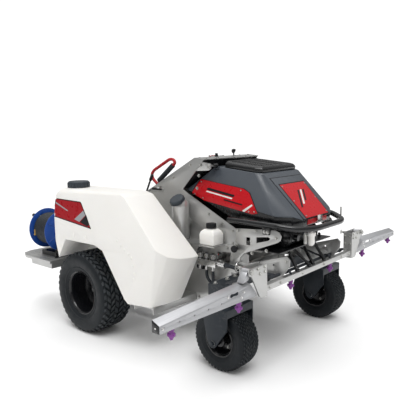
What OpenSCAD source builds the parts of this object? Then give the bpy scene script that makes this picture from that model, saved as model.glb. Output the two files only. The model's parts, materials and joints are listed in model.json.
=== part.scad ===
// Stand-on zero-turn turf sprayer with twin saddle tanks, folding front boom and hose reel.
// Millimetres, +X forward, +Y to the operator's left, +Z up, origin on the ground under the middle
// of the overall length. Places along the machine are given as distances ahead of the rear axle.

/* [Overall] */
// Overall length, reel shelf to bumper
overall_l = 2104; // [2090:1:2130]
// Distance of the reel shelf's rear edge behind the rear axle
rear_overhang = 764; // [758:1:770]
// Rear axle to caster axle at rest
wheelbase = 997; // [990:1:1005]

/* [Drive wheels] */
// Outer radius of a 20 inch turf tyre
drive_r = 254; // [250:1:256]
// Section width of the drive tyre
drive_w = 226; // [210:2:230]
// Centre of each drive wheel from the centre plane
drive_y = 595; // [593:1:600]
// Radius of the bead seat of the 10 inch rim
drive_bead_r = 129; // [126:1:131]

/* [Casters] */
// Outer radius of a 13 inch caster tyre
caster_r = 166; // [160:1:167]
// Section width of the caster tyre
caster_w = 141; // [130:1:146]
// Centre of each caster from the centre plane
caster_y = 495; // [493:1:498]
// Distance the wheel axle trails behind the swivel stem
caster_trail = 68; // [60:1:70]
// Radius of the swivel stem
stem_r = 15; // [13:0.5:16]

/* [Tanks] */
// Inner face of each saddle tank from the centre plane
tank_in = 420; // [416:1:424]
// Outer face of each saddle tank from the centre plane
tank_out = 690; // [684:1:694]
// Height of the tank tops
tank_top = 893; // [885:1:900]
// Wall thickness of the rotomoulded tanks
tank_wall = 7; // [5:0.5:9]
// Radius of the filler opening
filler_r = 52; // [50:1:55]

/* [Boom] */
// Nozzle distances from the centre plane: centre, inner wing and outer wing
nozzle_y = [220, 673, 1112];
// Tip of each wing from the centre plane
wing_tip = 1192; // [1180:1:1200]
// Hinge pin of each wing from the centre plane
wing_pin_y = 604; // [600:1:608]
// Height of the wing hinge pins
wing_pin_z = 575; // [572:1:580]
// Radius of the wing hinge pins
wing_pin_r = 8; // [7:0.5:8]

/* [Frame] */
// Outside of the frame side plates from the centre plane
frame_y = 281; // [279:1:283]
// Thickness of the frame side plates
plate_t = 8; // [6:1:8]
// Thickness of sheet covers
sheet_t = 4; // [3:0.5:5]

/* [Reel] */
// Radius of the reel flanges
reel_r = 140; // [134:1:142]
// Height of the reel axis
reel_z = 580; // [576:1:584]
// Side position of the reel axis, to the right
reel_y = -540; // [-545:1:-535]
// Outer diameter of the spray hose
hose_d = 17; // [16:0.5:18]

/* [Hidden] */
rear_x = rear_overhang - overall_l / 2;
run = 0.05;       // radial clearance of a running fit
gap = 0.4;        // clearance between neighbouring bodies
frame_in = frame_y - plate_t;
stem_x = wheelbase + caster_trail;
fork_half = 112;
fork_t = 8;
fork_top = 352;
beam_z = [382, 442];
wing_x = [1170, 1230];
boom_x = [1200, 1230];
boom_z = [450, 478];
hood_pin = [700, 1036];
hood_pin_r = 6;
latch_pin = [1262, 734];
lid_at = [-173, 552];
lever_y = 205;
lever_pin = [250, 868];
reel_flange_x = [-600, -410];
flange_t = 6;
knob_yz = [reel_y - 78, reel_z + 96];
shaft_r = 10;
brake_pin = [170, 838];
engine_c = [880, 0];
pulley_z = 545;
pump_c = [640, 0];
neck_c = [526, -328];
neck_tilt = 35;
neck_top = 798;
neck_r = 52;
cap_r = 47.5;
bottle_c = [768, -334];
platform_x = [-450, -112];
platform_z = [208, 230];
platform_half = 255;
platform_pin = [-100, 219];
platform_pin_r = 6;

// Colours
c_silver = [0.66, 0.66, 0.65];
c_slate = [0.24, 0.27, 0.29];
c_black = [0.06, 0.06, 0.07];
c_tank = [0.93, 0.92, 0.88];
c_red = [0.75, 0.07, 0.08];
c_blue = [0.13, 0.27, 0.62];
c_alu = [0.72, 0.74, 0.76];

// ---------- helpers ----------

// Moves a shape drawn from the rear axle into the machine's frame
module place() { translate([rear_x, 0, 0]) children(); }

// A plate cut to an outline in the side view, from y0 to y1
module side_plate(points, y0, y1) {
  translate([0, y1, 0]) rotate([90, 0, 0]) linear_extrude(y1 - y0) polygon(points);
}

// A box from its low corner to its high corner
module block(lo, hi) { translate(lo) cube(hi - lo); }

// A straight round bar between two points, with its axis from a to b
module bar(a, b, r, segs = 32) {
  v = b - a;
  len_v = norm(v);
  turn = atan2(v[1], v[0]);
  lean = acos(v[2] / len_v);
  translate(a) rotate([0, lean, turn]) cylinder(h = len_v, r = r, $fn = segs);
}

// A bent tube through a list of points with ball corners
module tube_path(points, r) {
  for (i = [0 : len(points) - 2]) bar(points[i], points[i + 1], r);
  for (i = [1 : len(points) - 2]) translate(points[i]) sphere(r = r * 1.05, $fn = 32);
}

// A cylinder along Y centred on a side-view point, from y0 to y1
module pin_y(x, z, y0, y1, r, segs = 48) {
  translate([x, y1, z]) rotate([90, 0, 0]) cylinder(h = y1 - y0, r = r, $fn = segs);
}

// A cylinder along X centred on a front-view point, from x0 to x1
module pin_x(y, z, x0, x1, r, segs = 48) {
  translate([x0, y, z]) rotate([0, 90, 0]) cylinder(h = x1 - x0, r = r, $fn = segs);
}

// Draws its children on both sides of the centre plane
module both() {
  children();
  mirror([0, 1, 0]) children();
}

// A hexagon-headed screw with its head on a face, pointing along -Y
module side_screw(x, y, z, r) {
  translate([x, y, z]) rotate([90, 0, 0]) cylinder(h = r * 1.1, r = r, $fn = 6);
}

// ---------- wheels ----------

// Section of a tyre: half width w, outer radius r, bead radius b, open at the bead
function tyre_outer(r, w, b) = [
  [b, w * 0.80], [b + 12, w * 0.80], [b + (r - b) * 0.36, w * 0.98], [b + (r - b) * 0.6, w],
  [r - (r - b) * 0.22, w * 0.97], [r - (r - b) * 0.09, w * 0.88], [r - 3, w * 0.70], [r, w * 0.35]
];
function mirrored(points) = concat(
  points,
  [for (i = [len(points) - 1 : -1 : 0]) [points[i][0], -points[i][1]]]
);
module tyre(r, w, b, wall) {
  rotate([90, 0, 0]) rotate_extrude($fn = 96) difference() {
    polygon(mirrored(tyre_outer(r, w / 2, b)));
    polygon(mirrored(tyre_outer(r - wall, w / 2 - wall, b - 1)));
  }
}

// A pressed drive rim, with its disc set in from the outer face and its hub shaft pointing inwards
module drive_rim() {
  half = drive_w / 2 * 0.80;
  disc = -22;
  difference() {
    rotate([90, 0, 0]) rotate_extrude($fn = 96) polygon([
      [drive_bead_r - 5, half + 6], [drive_bead_r + 9, half + 6], [drive_bead_r + 9, half],
      [drive_bead_r, half], [drive_bead_r, -half], [drive_bead_r + 9, -half],
      [drive_bead_r + 9, -half - 6], [drive_bead_r - 5, -half - 6], [drive_bead_r - 5, disc],
      [52, disc], [44, disc + 10], [15, disc + 10], [15, disc + 16], [48, disc + 16], [56, disc + 6],
      [drive_bead_r - 5, disc + 6]
    ]);
    for (a = [45 : 90 : 315]) rotate([0, a, 0]) translate([74, 0, 0]) rotate([90, 0, 0])
      cylinder(h = 200, r = 12, center = true, $fn = 32);
  }
  for (a = [0 : 72 : 288]) rotate([0, a, 0]) translate([32, -disc - 14, 0]) rotate([90, 0, 0])
    cylinder(h = 11, r = 8, $fn = 6);
  pin_y(0, 0, -disc - 28, 150, 17);
}

module drive_wheel_at() { place() translate([0, -drive_y, drive_r]) children(); }
module drive_tyre() { color(c_black) drive_wheel_at() tyre(drive_r, drive_w, drive_bead_r, 13); }
module right_tyre() { drive_tyre(); }
module left_tyre() { mirror([0, 1, 0]) drive_tyre(); }
module right_rim() { color(c_black) drive_wheel_at() drive_rim(); }
module left_rim() { color(c_black) mirror([0, 1, 0]) drive_wheel_at() drive_rim(); }

// ---------- casters ----------

caster_bead = 82;
module caster_rim() {
  half = caster_w / 2 * 0.80;
  rotate([90, 0, 0]) rotate_extrude($fn = 72) polygon([
    [caster_bead, half], [caster_bead + 8, half], [caster_bead + 8, half + 5], [caster_bead - 5, half + 5],
    [caster_bead - 5, 14], [34, 6], [34, 62], [20, 62], [20, 101], [10 + run, 101],
    [10 + run, -101], [20, -101], [20, -62], [34, -62], [34, -6],
    [caster_bead - 5, -14], [caster_bead - 5, -half - 5], [caster_bead + 8, -half - 5],
    [caster_bead + 8, -half], [caster_bead, -half]
  ]);
}
// A welded caster fork with its stem and axle bolt, drawn around the wheel centre
module caster_fork() {
  top = fork_top - caster_r;
  front = stem_x - wheelbase + 24;
  for (s = [-1, 1]) side_plate([
    [-62, top - 54], [-38, top], [front, top], [front, 84], [18, -14], [8, -24], [-8, -26],
    [-24, -16], [-34, 4]
  ], s > 0 ? fork_half - fork_t : -fork_half, s > 0 ? fork_half : -fork_half + fork_t);
  block([-38, -fork_half + fork_t, top - fork_t], [front, fork_half - fork_t, top]);
  block([front - 6, -fork_half + fork_t, top - 40], [front, fork_half - fork_t, top - fork_t]);
  translate([caster_trail, 0, top]) cylinder(h = beam_z[0] - fork_top - 4, r = 30, $fn = 48);
  translate([caster_trail, 0, top]) cylinder(h = beam_z[1] - fork_top + 22, r = stem_r, $fn = 48);
  pin_y(0, 0, -fork_half + fork_t, fork_half - fork_t, 10);
  side_screw(0, -fork_half, 0, 14);
  translate([0, fork_half, 0]) rotate([-90, 0, 0]) cylinder(h = 14, r = 14, $fn = 6);
}
module caster_at(s) { place() translate([wheelbase, s * caster_y, caster_r]) children(); }
module right_fork() { color(c_slate) caster_at(-1) caster_fork(); }
module left_fork() { color(c_slate) caster_at(1) caster_fork(); }
module right_caster_tyre() { color(c_black) caster_at(-1) tyre(caster_r, caster_w, caster_bead, 9); }
module left_caster_tyre() { color(c_black) caster_at(1) tyre(caster_r, caster_w, caster_bead, 9); }
module right_caster_rim() { color(c_black) caster_at(-1) caster_rim(); }
module left_caster_rim() { color(c_black) caster_at(1) caster_rim(); }

// ---------- frame ----------

frame_outline = [
  [-560, 262], [-560, 322], [-330, 322], [-200, 470], [40, 500], [110, 600], [905, 600], [985, 560],
  [985, 470], [940, 442], [868, 442], [868, 330], [790, 262], [640, 222], [300, 222], [150, 150],
  [-95, 140], [-200, 262], [-400, 262], [-400, 196], [-450, 196], [-450, 262]
];
opening_rear = [[598, 424], [598, 520], [622, 556], [688, 556], [694, 424]];
opening_mid = [[762, 470], [762, 546], [866, 556], [852, 478], [820, 452]];
opening_low = [[720, 310], [720, 372], [750, 384], [790, 330], [790, 310]];

// Side plates with their windows, two cross members, the floor pan and the bottle shelf
module main_frame() {
  color(c_silver) place() {
    both() difference() {
      side_plate(frame_outline, frame_in, frame_y);
      for (o = [opening_rear, opening_mid, opening_low]) side_plate(o, frame_in - 1, frame_y + 1);
      pin_y(0, drive_r, frame_in - 1, frame_y + 1, 48);
    }
    block([160, -frame_in, 222], [640, frame_in, 228]);
    block([-560, -frame_in, 264], [-530, frame_in, 300]);
    block([790, -frame_in, 400], [820, frame_in, 440]);
    block([715, -frame_y - 104, 594], [825, -frame_y, 600]);
    block([-556, -402, 300], [-516, -frame_y, 322]);
    block([-400, -402, 300], [-360, -frame_y, 322]);
    block([-440, -frame_in, 196], [-410, frame_in, platform_z[0] - gap]);
    pin_y(platform_pin[0], platform_pin[1], -frame_in, frame_in, platform_pin_r);
  }
}

// Front side plates with the wedge slot and the two lightening holes
nose_outline = [
  [880, 500], [900, 600], [908, 700], [1160, 716], [1186, 708], [1198, 688], [1192, 664], [1176, 652],
  [960, 566], [936, 540], [934, 516], [1000, 518], [1232, 588], [1250, 570], [1248, 536], [1200, 470],
  [1130, 420], [1060, 408], [990, 446], [900, 446]
];
plate_holes = [[1062, 532], [1152, 532], [1062, 472], [1152, 472]];
plate_hole_r = 5.5;
nose_y = frame_y + 6;
module nose_plates() {
  color(c_silver) place() both() difference() {
    side_plate(nose_outline, frame_y, nose_y);
    side_plate([[977, 617], [977, 658], [1002, 660], [1002, 617]], frame_y - 1, nose_y + 1);
    side_plate([[1043, 634], [1043, 666], [1120, 676], [1132, 668], [1120, 656]], frame_y - 1, nose_y + 1);
    block([boom_x[0] - 2, frame_y - 1, 400], [boom_x[1] + 2, nose_y + 1, boom_z[1]]);
    for (h = plate_holes) pin_y(h[0], h[1], frame_y - 1, nose_y + 1, plate_hole_r);
  }
  color(c_silver) place() block([990, -frame_y, 592], [1186, frame_y, 598]);
}

// Cross beam with an arm and a swivel boss on each side
module front_beam() {
  color(c_slate) place() {
    difference() {
      union() {
        block([902, -525, beam_z[0]], [962, 525, beam_z[1]]);
        both() block([962, 462, beam_z[0]], [1040, 525, beam_z[1]]);
        both() translate([stem_x, caster_y, beam_z[0]])
          cylinder(h = beam_z[1] - beam_z[0], r = 33, $fn = 48);
      }
      both() translate([stem_x, caster_y, beam_z[0] - 1])
        cylinder(h = beam_z[1] - beam_z[0] + 2, r = stem_r + run, $fn = 48);
    }
  }
}

// ---------- control tower ----------

tower_in = frame_in - sheet_t;
tower_outline = [
  [669, 1076], [594, 1084], [330, 944], [205, 880], [140, 850], [60, 790], [60, 606], [70, 560],
  [890, 560], [899, 692], [552, 862], [496, 894]
];
console_top = [[594, 1084], [205, 880]];
hinge_tab = [[596, 1006], [640, 1062], [716, 1050], [716, 1022], [700, 1012]];
module control_tower() {
  color(c_silver) place() {
    both() difference() {
      side_plate(tower_outline, tower_in, frame_in);
      pin_y(neck_c[0], 700, tower_in - 1, frame_in + 1, 31);
      block([228, tower_in - 1, 872], [318, frame_in + 1, 890]);
    }
    difference() {
      side_plate([[669, 1071], [594, 1079], [594, 1084], [669, 1076]], -tower_in, tower_in);
      block([560, 90, 1060], [640, 102, 1100]);
      translate([628, -110, 1060]) cylinder(h = 40, r = 11.4, $fn = 40);
    }
    block([593, 102, 1060], [610, 108, 1079]);
    pin_y(600, 1068, 88, 102, 3, 32);
    pin_y(brake_pin[0], brake_pin[1], -frame_in - 18, -frame_in, 5, 32);
    both() pin_y(lever_pin[0], lever_pin[1], 176, tower_in, 9);
    both() pin_y(hood_pin[0], hood_pin[1], 198, tower_in, hood_pin_r);
    both() side_plate(hinge_tab, tower_in - 6, tower_in);
    both() block([62, 150, 560], [890, tower_in, 563]);
    block([370, -tower_in, 612], [600, tower_in, 620]);
    difference() {
      block([770, -tower_in, 594], [888, tower_in, 602]);
      translate([engine_c[0], 0, 590]) cylinder(h = 20, r = 62, $fn = 64);
    }
    side_plate([[62, 563], [62, 790], [138, 842], [201, 873], [201, 868], [141, 838], [66, 787], [66, 563]],
      -tower_in, tower_in);
  }
}

// Sloping dash between the tower sides, slotted for the drive levers and the throttle
module console_panel() {
  slope = atan2(console_top[0][1] - console_top[1][1], console_top[0][0] - console_top[1][0]);
  run_l = norm(console_top[0] - console_top[1]);
  color(c_silver) place() {
    difference() {
      translate([console_top[1][0], 0, console_top[1][1]]) rotate([0, -slope, 0]) union() {
        block([0, -tower_in, -sheet_t - 1], [run_l - 3, tower_in, -1]);
        block([250, -60, -1], [400, 60, 22]);
      }
      both() block([176, lever_y - 18, 840], [452, lever_y + 18, 1040]);
      block([560, 88, 1050], [600, 110, 1100]);
    }
    block([204, -tower_in, 800], [208, tower_in, 872]);
  }
}

// Closed cover along the slanted front edge of the tower, facing the hood
module tower_front_cover() {
  color(c_black) place() {
    side_plate([[666, 1066], [494, 897], [488, 903], [658, 1068]], -tower_in + 6, tower_in - 6);
  }
}

module thigh_pad() {
  color(c_black) place() side_plate(
    [[62, 600], [40, 604], [28, 620], [24, 700], [28, 770], [42, 786], [62, 786]], -190, 190);
}

// ---------- tanks ----------

tank_side = [
  [-240, 470], [-282, 620], [-290, 704], [-266, 850], [-236, tank_top], [340, tank_top], [392, 872],
  [746, 547], [605, 270], [430, 270], [225, 552], [150, 575], [-150, 575]
];
tank_plan = [[-292, tank_in], [-292, 655], [-262, tank_out], [760, tank_out], [760, tank_in]];
// Corners of the front at crease height, and how far each facet between them leans in below it
crease_z = 552;
front_corners = [[590, tank_out], [660, tank_out - 16], [705, 635], [735, 560], [750, 470]];
front_leans = [9, 15, 21, 25];
fender = [[-238, 474], [-150, 581], [150, 581], [228, 557], [288, 474]];
tank_end = [
  [tank_in, 200], [tank_in, tank_top - 18], [tank_in + 20, tank_top], [632, tank_top], [660, tank_top - 28],
  [tank_out, 640], [tank_out, 200]
];
// Outer form of a saddle tank, shrunk by an inset for its inside
module tank_form(inset) {
  difference() {
    intersection() {
      translate([0, 800, 0]) rotate([90, 0, 0]) linear_extrude(500) offset(delta = -inset) polygon(tank_side);
      linear_extrude(1000) offset(delta = -inset) polygon(tank_plan);
      translate([-400, 0, 0]) rotate([90, 0, 90]) linear_extrude(1300)
        offset(delta = -inset) polygon(tank_end);
    }
    for (i = [0 : len(front_leans) - 1]) front_facet(i, inset);
  }
}
// What a front corner facet cuts away
module front_facet(i, inset) {
  a = front_corners[i];
  b = front_corners[i + 1];
  translate([a[0], a[1], crease_z]) rotate([0, 0, atan2(b[1] - a[1], b[0] - a[0])])
    rotate([-front_leans[i], 0, 0]) translate([-400, -inset, -600]) cube([900, 400, 1200]);
}
// A hollow tank on the left side, with a fender skirt inside the wheel and a ring round its filler opening
module saddle_tank() {
  difference() {
    union() {
      tank_form(0);
      side_plate(fender, 454, 468);
      translate([lid_at[0], lid_at[1], tank_top - 2]) cylinder(h = 14, r = filler_r + 10, $fn = 64);
    }
    tank_form(tank_wall);
    translate([lid_at[0], lid_at[1], tank_top - 40]) cylinder(h = 80, r = filler_r, $fn = 64);
  }
}
module right_tank() { color(c_tank) place() mirror([0, 1, 0]) saddle_tank(); }
module left_tank() { color(c_tank) place() saddle_tank(); }

// A ribbed screw lid that sits over the neck ring
module tank_lid() {
  base = tank_top + 2;
  translate([lid_at[0], lid_at[1], base]) difference() {
    union() {
      cylinder(h = 34, r = filler_r + 17, $fn = 64);
      translate([0, 0, 34]) cylinder(h = 6, r1 = filler_r + 17, r2 = filler_r + 9, $fn = 64);
      for (a = [0 : 20 : 340]) rotate([0, 0, a]) translate([filler_r + 16, -3, 2]) cube([4, 6, 28]);
    }
    translate([0, 0, -1]) cylinder(h = 13, r = filler_r + 10.5, $fn = 64);
    translate([0, 0, -1]) cylinder(h = 30, r = filler_r - 4, $fn = 64);
  }
}
module right_lid() { color(c_slate) place() mirror([0, 1, 0]) tank_lid(); }
module left_lid() { color(c_slate) place() tank_lid(); }

// Channels under the tanks and upper arms inside the wheel arches
module tank_cradles() {
  color(c_silver) place() both() {
    difference() {
      block([440, frame_y, 232], [600, 640, 270]);
      block([446, frame_y + 8, 231], [594, 641, 262]);
    }
    for (x = [-60, 60]) block([x - 20, frame_y, 549], [x + 20, tank_in + 30, 575]);
    block([-80, frame_y, 480], [80, frame_y + 6, 575]);
  }
}

// ---------- tower contents ----------

module fuel_tank() {
  color(c_black) place() {
    difference() {
      side_plate([[380, 620], [380, 800], [470, 846], [560, 800], [590, 620]], -tower_in + 9, tower_in - 9);
      side_plate([[386, 626], [386, 796], [470, 839], [555, 796], [584, 626]],
        -tower_in + 15, tower_in - 15);
      pin_y(neck_c[0], 700, -tower_in, -tower_in + 20, 24);
    }
  }
}
// Moves a shape drawn along the tilted mouth to the top of the filler pipe
module neck_mouth() {
  translate([neck_c[0], neck_c[1], neck_top]) rotate([neck_tilt, 0, 0]) children();
}
// Filler pipe outside the tower, with a tilted mouth and a cross pipe to the tank
module fuel_neck() {
  color(c_silver) place() {
    difference() {
      union() {
        translate([neck_c[0], neck_c[1], 606]) cylinder(h = neck_top - 606, r = neck_r, $fn = 64);
        translate([neck_c[0], neck_c[1], neck_top]) sphere(r = neck_r + 0.5, $fn = 64);
        neck_mouth() cylinder(h = 48, r = 36, $fn = 64);
        pin_y(neck_c[0], 700, neck_c[1], -tower_in + 9, 30);
      }
      translate([neck_c[0], neck_c[1], 612]) cylinder(h = neck_top - 612, r = neck_r - 4, $fn = 64);
      translate([neck_c[0], neck_c[1], neck_top]) sphere(r = neck_r - 3.5, $fn = 64);
      neck_mouth() cylinder(h = 60, r = 32, $fn = 64);
      pin_y(neck_c[0], 700, neck_c[1], -tower_in + 10, 24);
    }
  }
}
module fuel_cap() {
  color(c_slate) place() neck_mouth() difference() {
    union() {
      translate([0, 0, 39]) cylinder(h = 19, r = cap_r, $fn = 64);
      translate([0, 0, 58]) cylinder(h = 5, r1 = cap_r, r2 = cap_r - 9, $fn = 64);
    }
    translate([0, 0, 38]) cylinder(h = 10.5, r = 36.4, $fn = 64);
  }
}
module oil_bottle() {
  color([0.93, 0.94, 0.93, 0.8]) place() {
    difference() {
      union() {
        block([bottle_c[0] - 53, bottle_c[1] - 45, 600], [bottle_c[0] + 53, bottle_c[1] + 45, 682]);
        block([bottle_c[0] - 44, bottle_c[1] - 36, 682], [bottle_c[0] + 44, bottle_c[1] + 36, 694]);
      }
      block([bottle_c[0] - 50, bottle_c[1] - 42, 603], [bottle_c[0] + 50, bottle_c[1] + 42, 680]);
      translate([bottle_c[0], bottle_c[1], 670]) cylinder(h = 50, r = 16, $fn = 48);
    }
    difference() {
      translate([bottle_c[0], bottle_c[1], 694]) cylinder(h = 22, r = 20, $fn = 48);
      translate([bottle_c[0], bottle_c[1], 670]) cylinder(h = 50, r = 16, $fn = 48);
    }
  }
}
module bottle_cap() {
  color(c_black) place() translate([bottle_c[0], bottle_c[1], 694 + gap]) difference() {
    cylinder(h = 27, r = 28, $fn = 48);
    translate([0, 0, -1]) cylinder(h = 23.2, r = 20.4, $fn = 48);
  }
}
module battery() {
  color(c_black) place() {
    block([220, -90, 228], [400, 90, 400]);
    for (s = [-1, 1]) translate([250, s * 60, 400]) cylinder(h = 16, r = 9, $fn = 32);
  }
}

// ---------- engine bay ----------

// V-twin engine on its crankcase, with the cooling shroud and its recoil cup
module engine() {
  color(c_black) place() {
    block([760, -150, 622], [1010, 150, 740]);
    block([780, -110, 602], [1000, 110, 622]);
    both() translate([930, 60, 690]) rotate([-50, 0, 0]) {
      for (k = [0 : 4]) translate([0, 0, 60 + k * 16]) cylinder(h = 7, r = 58 - (k > 3 ? 8 : 0), $fn = 40);
      cylinder(h = 150, r = 46, $fn = 40);
    }
    translate([engine_c[0], 0, 740]) cylinder(h = 120, r = 118, $fn = 64);
    translate([engine_c[0], 0, 860]) cylinder(h = 60, r = 92, $fn = 64);
    translate([engine_c[0], 0, pulley_z + 30]) cylinder(h = 27, r = 60, $fn = 48);
  }
}
module muffler() {
  color(c_black) place() {
    pin_y(1120, 650, -150, 150, 52);
    both() pin_x(90, 655, 1010, 1090, 15);
    pin_x(-110, 650, 1150, 1196, 15);
  }
}
module pulley(r, h, bore) {
  rotate_extrude($fn = 72) polygon([
    [bore, 0], [r, 0], [r, 3], [r - 11, h / 2], [r, h - 3], [r, h], [bore, h]
  ]);
}
module engine_pulley() {
  color(c_slate) place() translate([engine_c[0], 0, pulley_z]) {
    pulley(70, 22, 0);
    cylinder(h = 29.6, r = 16, $fn = 48);
  }
}
module pump_pulley() {
  color(c_slate) place() translate([pump_c[0], 0, pulley_z]) {
    pulley(52, 22, 0);
    translate([0, 0, -19.6]) cylinder(h = 20, r = 12, $fn = 48);
  }
}
// Flat loop of belt that clears both pulley grooves
module drive_belt() {
  r_big = 65.2;
  r_small = 47.2;
  dist = engine_c[0] - pump_c[0];
  lean = asin((r_big - r_small) / dist);
  color(c_black) place() translate([0, 0, pulley_z + 7]) difference() {
    linear_extrude(8) belt_outline(r_big + 5, r_small + 5, dist, lean);
    translate([0, 0, -1]) linear_extrude(10) belt_outline(r_big, r_small, dist, lean);
  }
}
module belt_outline(ra, rb, dist, lean) {
  translate([engine_c[0], 0]) circle(r = ra, $fn = 64);
  translate([pump_c[0], 0]) circle(r = rb, $fn = 64);
  ea = ra - 0.05;
  eb = rb - 0.05;
  polygon([
    [engine_c[0] - ea * sin(lean), ea * cos(lean)], [pump_c[0] - eb * sin(lean), eb * cos(lean)],
    [pump_c[0] - eb * sin(lean), -eb * cos(lean)], [engine_c[0] - ea * sin(lean), -ea * cos(lean)]
  ]);
}
module spray_pump() {
  color(c_silver) place() {
    block([570, -75, 400], [710, 75, 470]);
    translate([pump_c[0], 0, 470]) cylinder(h = 55, r = 62, $fn = 48);
    for (s = [-1, 1]) pin_y(pump_c[0], 435, s > 0 ? 75 : -140, s > 0 ? 140 : -75, 16);
    block([600, -60, 228], [680, 60, 400]);
  }
}
// Boom valve manifold outside the right frame plate
module valve_block() {
  color(c_alu) place() {
    block([640, -frame_y - 62, 470], [800, -frame_y, 506]);
    for (k = [0 : 2]) translate([665 + k * 48, -frame_y - 34, 506]) cylinder(h = 34, r = 15, $fn = 40);
    for (k = [0 : 2]) translate([665 + k * 48, -frame_y - 34, 440]) cylinder(h = 30, r = 11, $fn = 40);
    pin_x(-frame_y - 34, 488, 800, 850, 16);
  }
}
module strainer() {
  color(c_tank) place() {
    translate([1216, -8, 606]) cylinder(h = 44, r = 20, $fn = 48);
    translate([1216, -8, 594]) cylinder(h = 12, r1 = 10, r2 = 20, $fn = 48);
    translate([1216, -8, 650]) cylinder(h = 18, r = 25, $fn = 48);
    translate([1216, -8, 668]) cylinder(h = 20, r = 10, $fn = 32);
    block([1176, -18, 598], [1184, 2, 668]);
    pin_x(-8, 658, 1180, 1205, 8);
  }
}
module transaxles() {
  color(c_slate) place() both() difference() {
    union() {
      block([-80, 168, 160], [110, frame_in, 330]);
      pin_y(0, drive_r, frame_in, 489, 44);
      translate([60, 220, 330]) cylinder(h = 40, r = 34, $fn = 48);
    }
    pin_y(0, drive_r, 440, 490, 17 + run);
  }
}

// ---------- hood ----------

hood_top = [[690, 186, 1030], [975, 201, 1000], [1017, 180, 996]];
hood_waist = [[505, 247, 886], [1133, 258, 783], [1215, 205, 779], [1247, 150, 758]];
hood_foot = [[925, 257, 724], [1133, 256, 724], [1212, 202, 724], [1240, 148, 724]];
function mirror_y(points) = [for (p = points) [p[0], -p[1], p[2]]];
function all_sides(points) = concat(points, mirror_y(points));
module point_hull(points, r) { hull() for (p = points) translate(p) sphere(r = r, $fn = 12); }
inner_hood = all_sides([
  [706, 176, 1014], [970, 191, 986], [1006, 172, 982], [534, 239, 886], [1128, 246, 775],
  [1205, 196, 771], [1234, 143, 752], [560, 240, 790], [900, 246, 680], [1128, 246, 680], [1203, 192, 680],
  [1230, 140, 680]
]);
module hood() {
  color(c_slate) place() {
    difference() {
      point_hull(all_sides(concat(hood_top, hood_waist, hood_foot)), 4);
      point_hull(inner_hood, 4);
      both() block([680, 150, 1010], [722, 262, 1060]);
    }
    both() difference() {
      union() {
        pin_y(hood_pin[0], hood_pin[1], 196, 230, 13);
        side_plate([[690, 1000], [689, 1030], [712, 1034], [750, 1012], [750, 1002]], 190, 200);
      }
      pin_y(hood_pin[0], hood_pin[1], 180, 240, hood_pin_r + run);
    }
    both() block([1234, 33, 727], [1270, 38, 741]);
    pin_y(latch_pin[0], latch_pin[1], -38, 38, 3, 32);
  }
}
// Raised air-intake pad on the hood's sloping top
module intake_grille() {
  slope = atan2(hood_top[0][2] - hood_top[2][2], hood_top[2][0] - hood_top[0][0]);
  color(c_black) place() translate([hood_top[0][0] + 36, 0, hood_top[0][2] + 0.3]) rotate([0, slope, 0])
    linear_extrude(34) polygon([
      [0, -150], [30, -186], [245, -196], [282, -172], [282, 172], [245, 196], [30, 186], [0, 150]
    ]);
}
module hood_latch() {
  color(c_alu) place() {
    difference() {
      union() {
        pin_y(latch_pin[0], latch_pin[1], -32, 32, 6);
        block([latch_pin[0] - 3, -26, latch_pin[1] + 3], [latch_pin[0] + 4, 26, latch_pin[1] + 38]);
      }
      pin_y(latch_pin[0], latch_pin[1], -40, 40, 3 + run, 32);
    }
  }
}
// Bent tube round the front with its stays to the nose plates
module bumper() {
  front = overall_l - rear_overhang - 16;
  color(c_black) place() {
    tube_path([
      [868, -304, 748], [1165, -304, 742], [1262, -246, 724], [front, -150, 724],
      [front, 150, 724], [1262, 246, 724], [1165, 304, 742], [868, 304, 748]
    ], 16);
    both() block([1090, nose_y, 690], [1130, nose_y + 8, 745]);
  }
}

// ---------- boom ----------

module centre_boom() {
  color(c_slate) place() {
    block([boom_x[0], -470, boom_z[0]], [boom_x[1], 470, boom_z[1]]);
    both() block([1120, frame_in, 452], [boom_x[0], frame_y, 476]);
  }
}
// Upright hinge brackets at the ends of the centre boom, with their pins
module boom_brackets() {
  color(c_silver) place() both() {
    difference() {
      translate([1180, 0, 0]) rotate([90, 0, 90]) linear_extrude(56) polygon([
        [470, 430], [470, 588], [590, 588], [602, 560], [532, 440], [516, 430]
      ]);
      block([1172, 478, 420], [1228, 700, 600]);
    }
    for (x = [1180, 1230]) translate([x, 0, 0]) rotate([90, 0, 90]) linear_extrude(6) polygon([
      [478, 540], [478, 592], [wing_pin_y + 14, 592], [wing_pin_y + 14, 560], [560, 540]
    ]);
    pin_x(wing_pin_y, wing_pin_z, 1174, 1242, wing_pin_r);
  }
}
// A folding wing on the left side: tapered channel with its hinge lug
module wing_channel() {
  difference() {
    translate([wing_x[0], 0, 0]) rotate([90, 0, 90]) linear_extrude(wing_x[1] - wing_x[0]) polygon([
      [wing_tip, 468], [wing_tip, 510], [650, 531], [622, 549], [616, 540], [546, 452], [574, 447],
      [610, 450]
    ]);
    translate([wing_x[0] - 1, 0, 0]) rotate([90, 0, 90]) linear_extrude(wing_x[1] - wing_x[0] - 3) polygon([
      [wing_tip - 4, 472], [wing_tip - 4, 506], [662, 526], [642, 526], [592, 454], [612, 454]
    ]);
    for (k = [0 : 4]) pin_x(812 + k * 88.5, 479, 1200, 1240, 4, 32);
    for (y = [700, 744]) pin_x(y, 508, 1200, 1240, 9, 32);
    block([1200, 700, 501], [1240, 744, 515]);
  }
  difference() {
    union() {
      pin_x(wing_pin_y, wing_pin_z, 1188, 1227, 17);
      translate([1188, 0, 0]) rotate([90, 0, 90]) linear_extrude(39)
        polygon([[596, 560], [612, 538], [650, 530], [620, 578]]);
    }
    pin_x(wing_pin_y, wing_pin_z, 1180, 1240, wing_pin_r + run);
  }
}
module left_wing() { color(c_alu) place() wing_channel(); }
module right_wing() { color(c_alu) place() mirror([0, 1, 0]) wing_channel(); }
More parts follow.
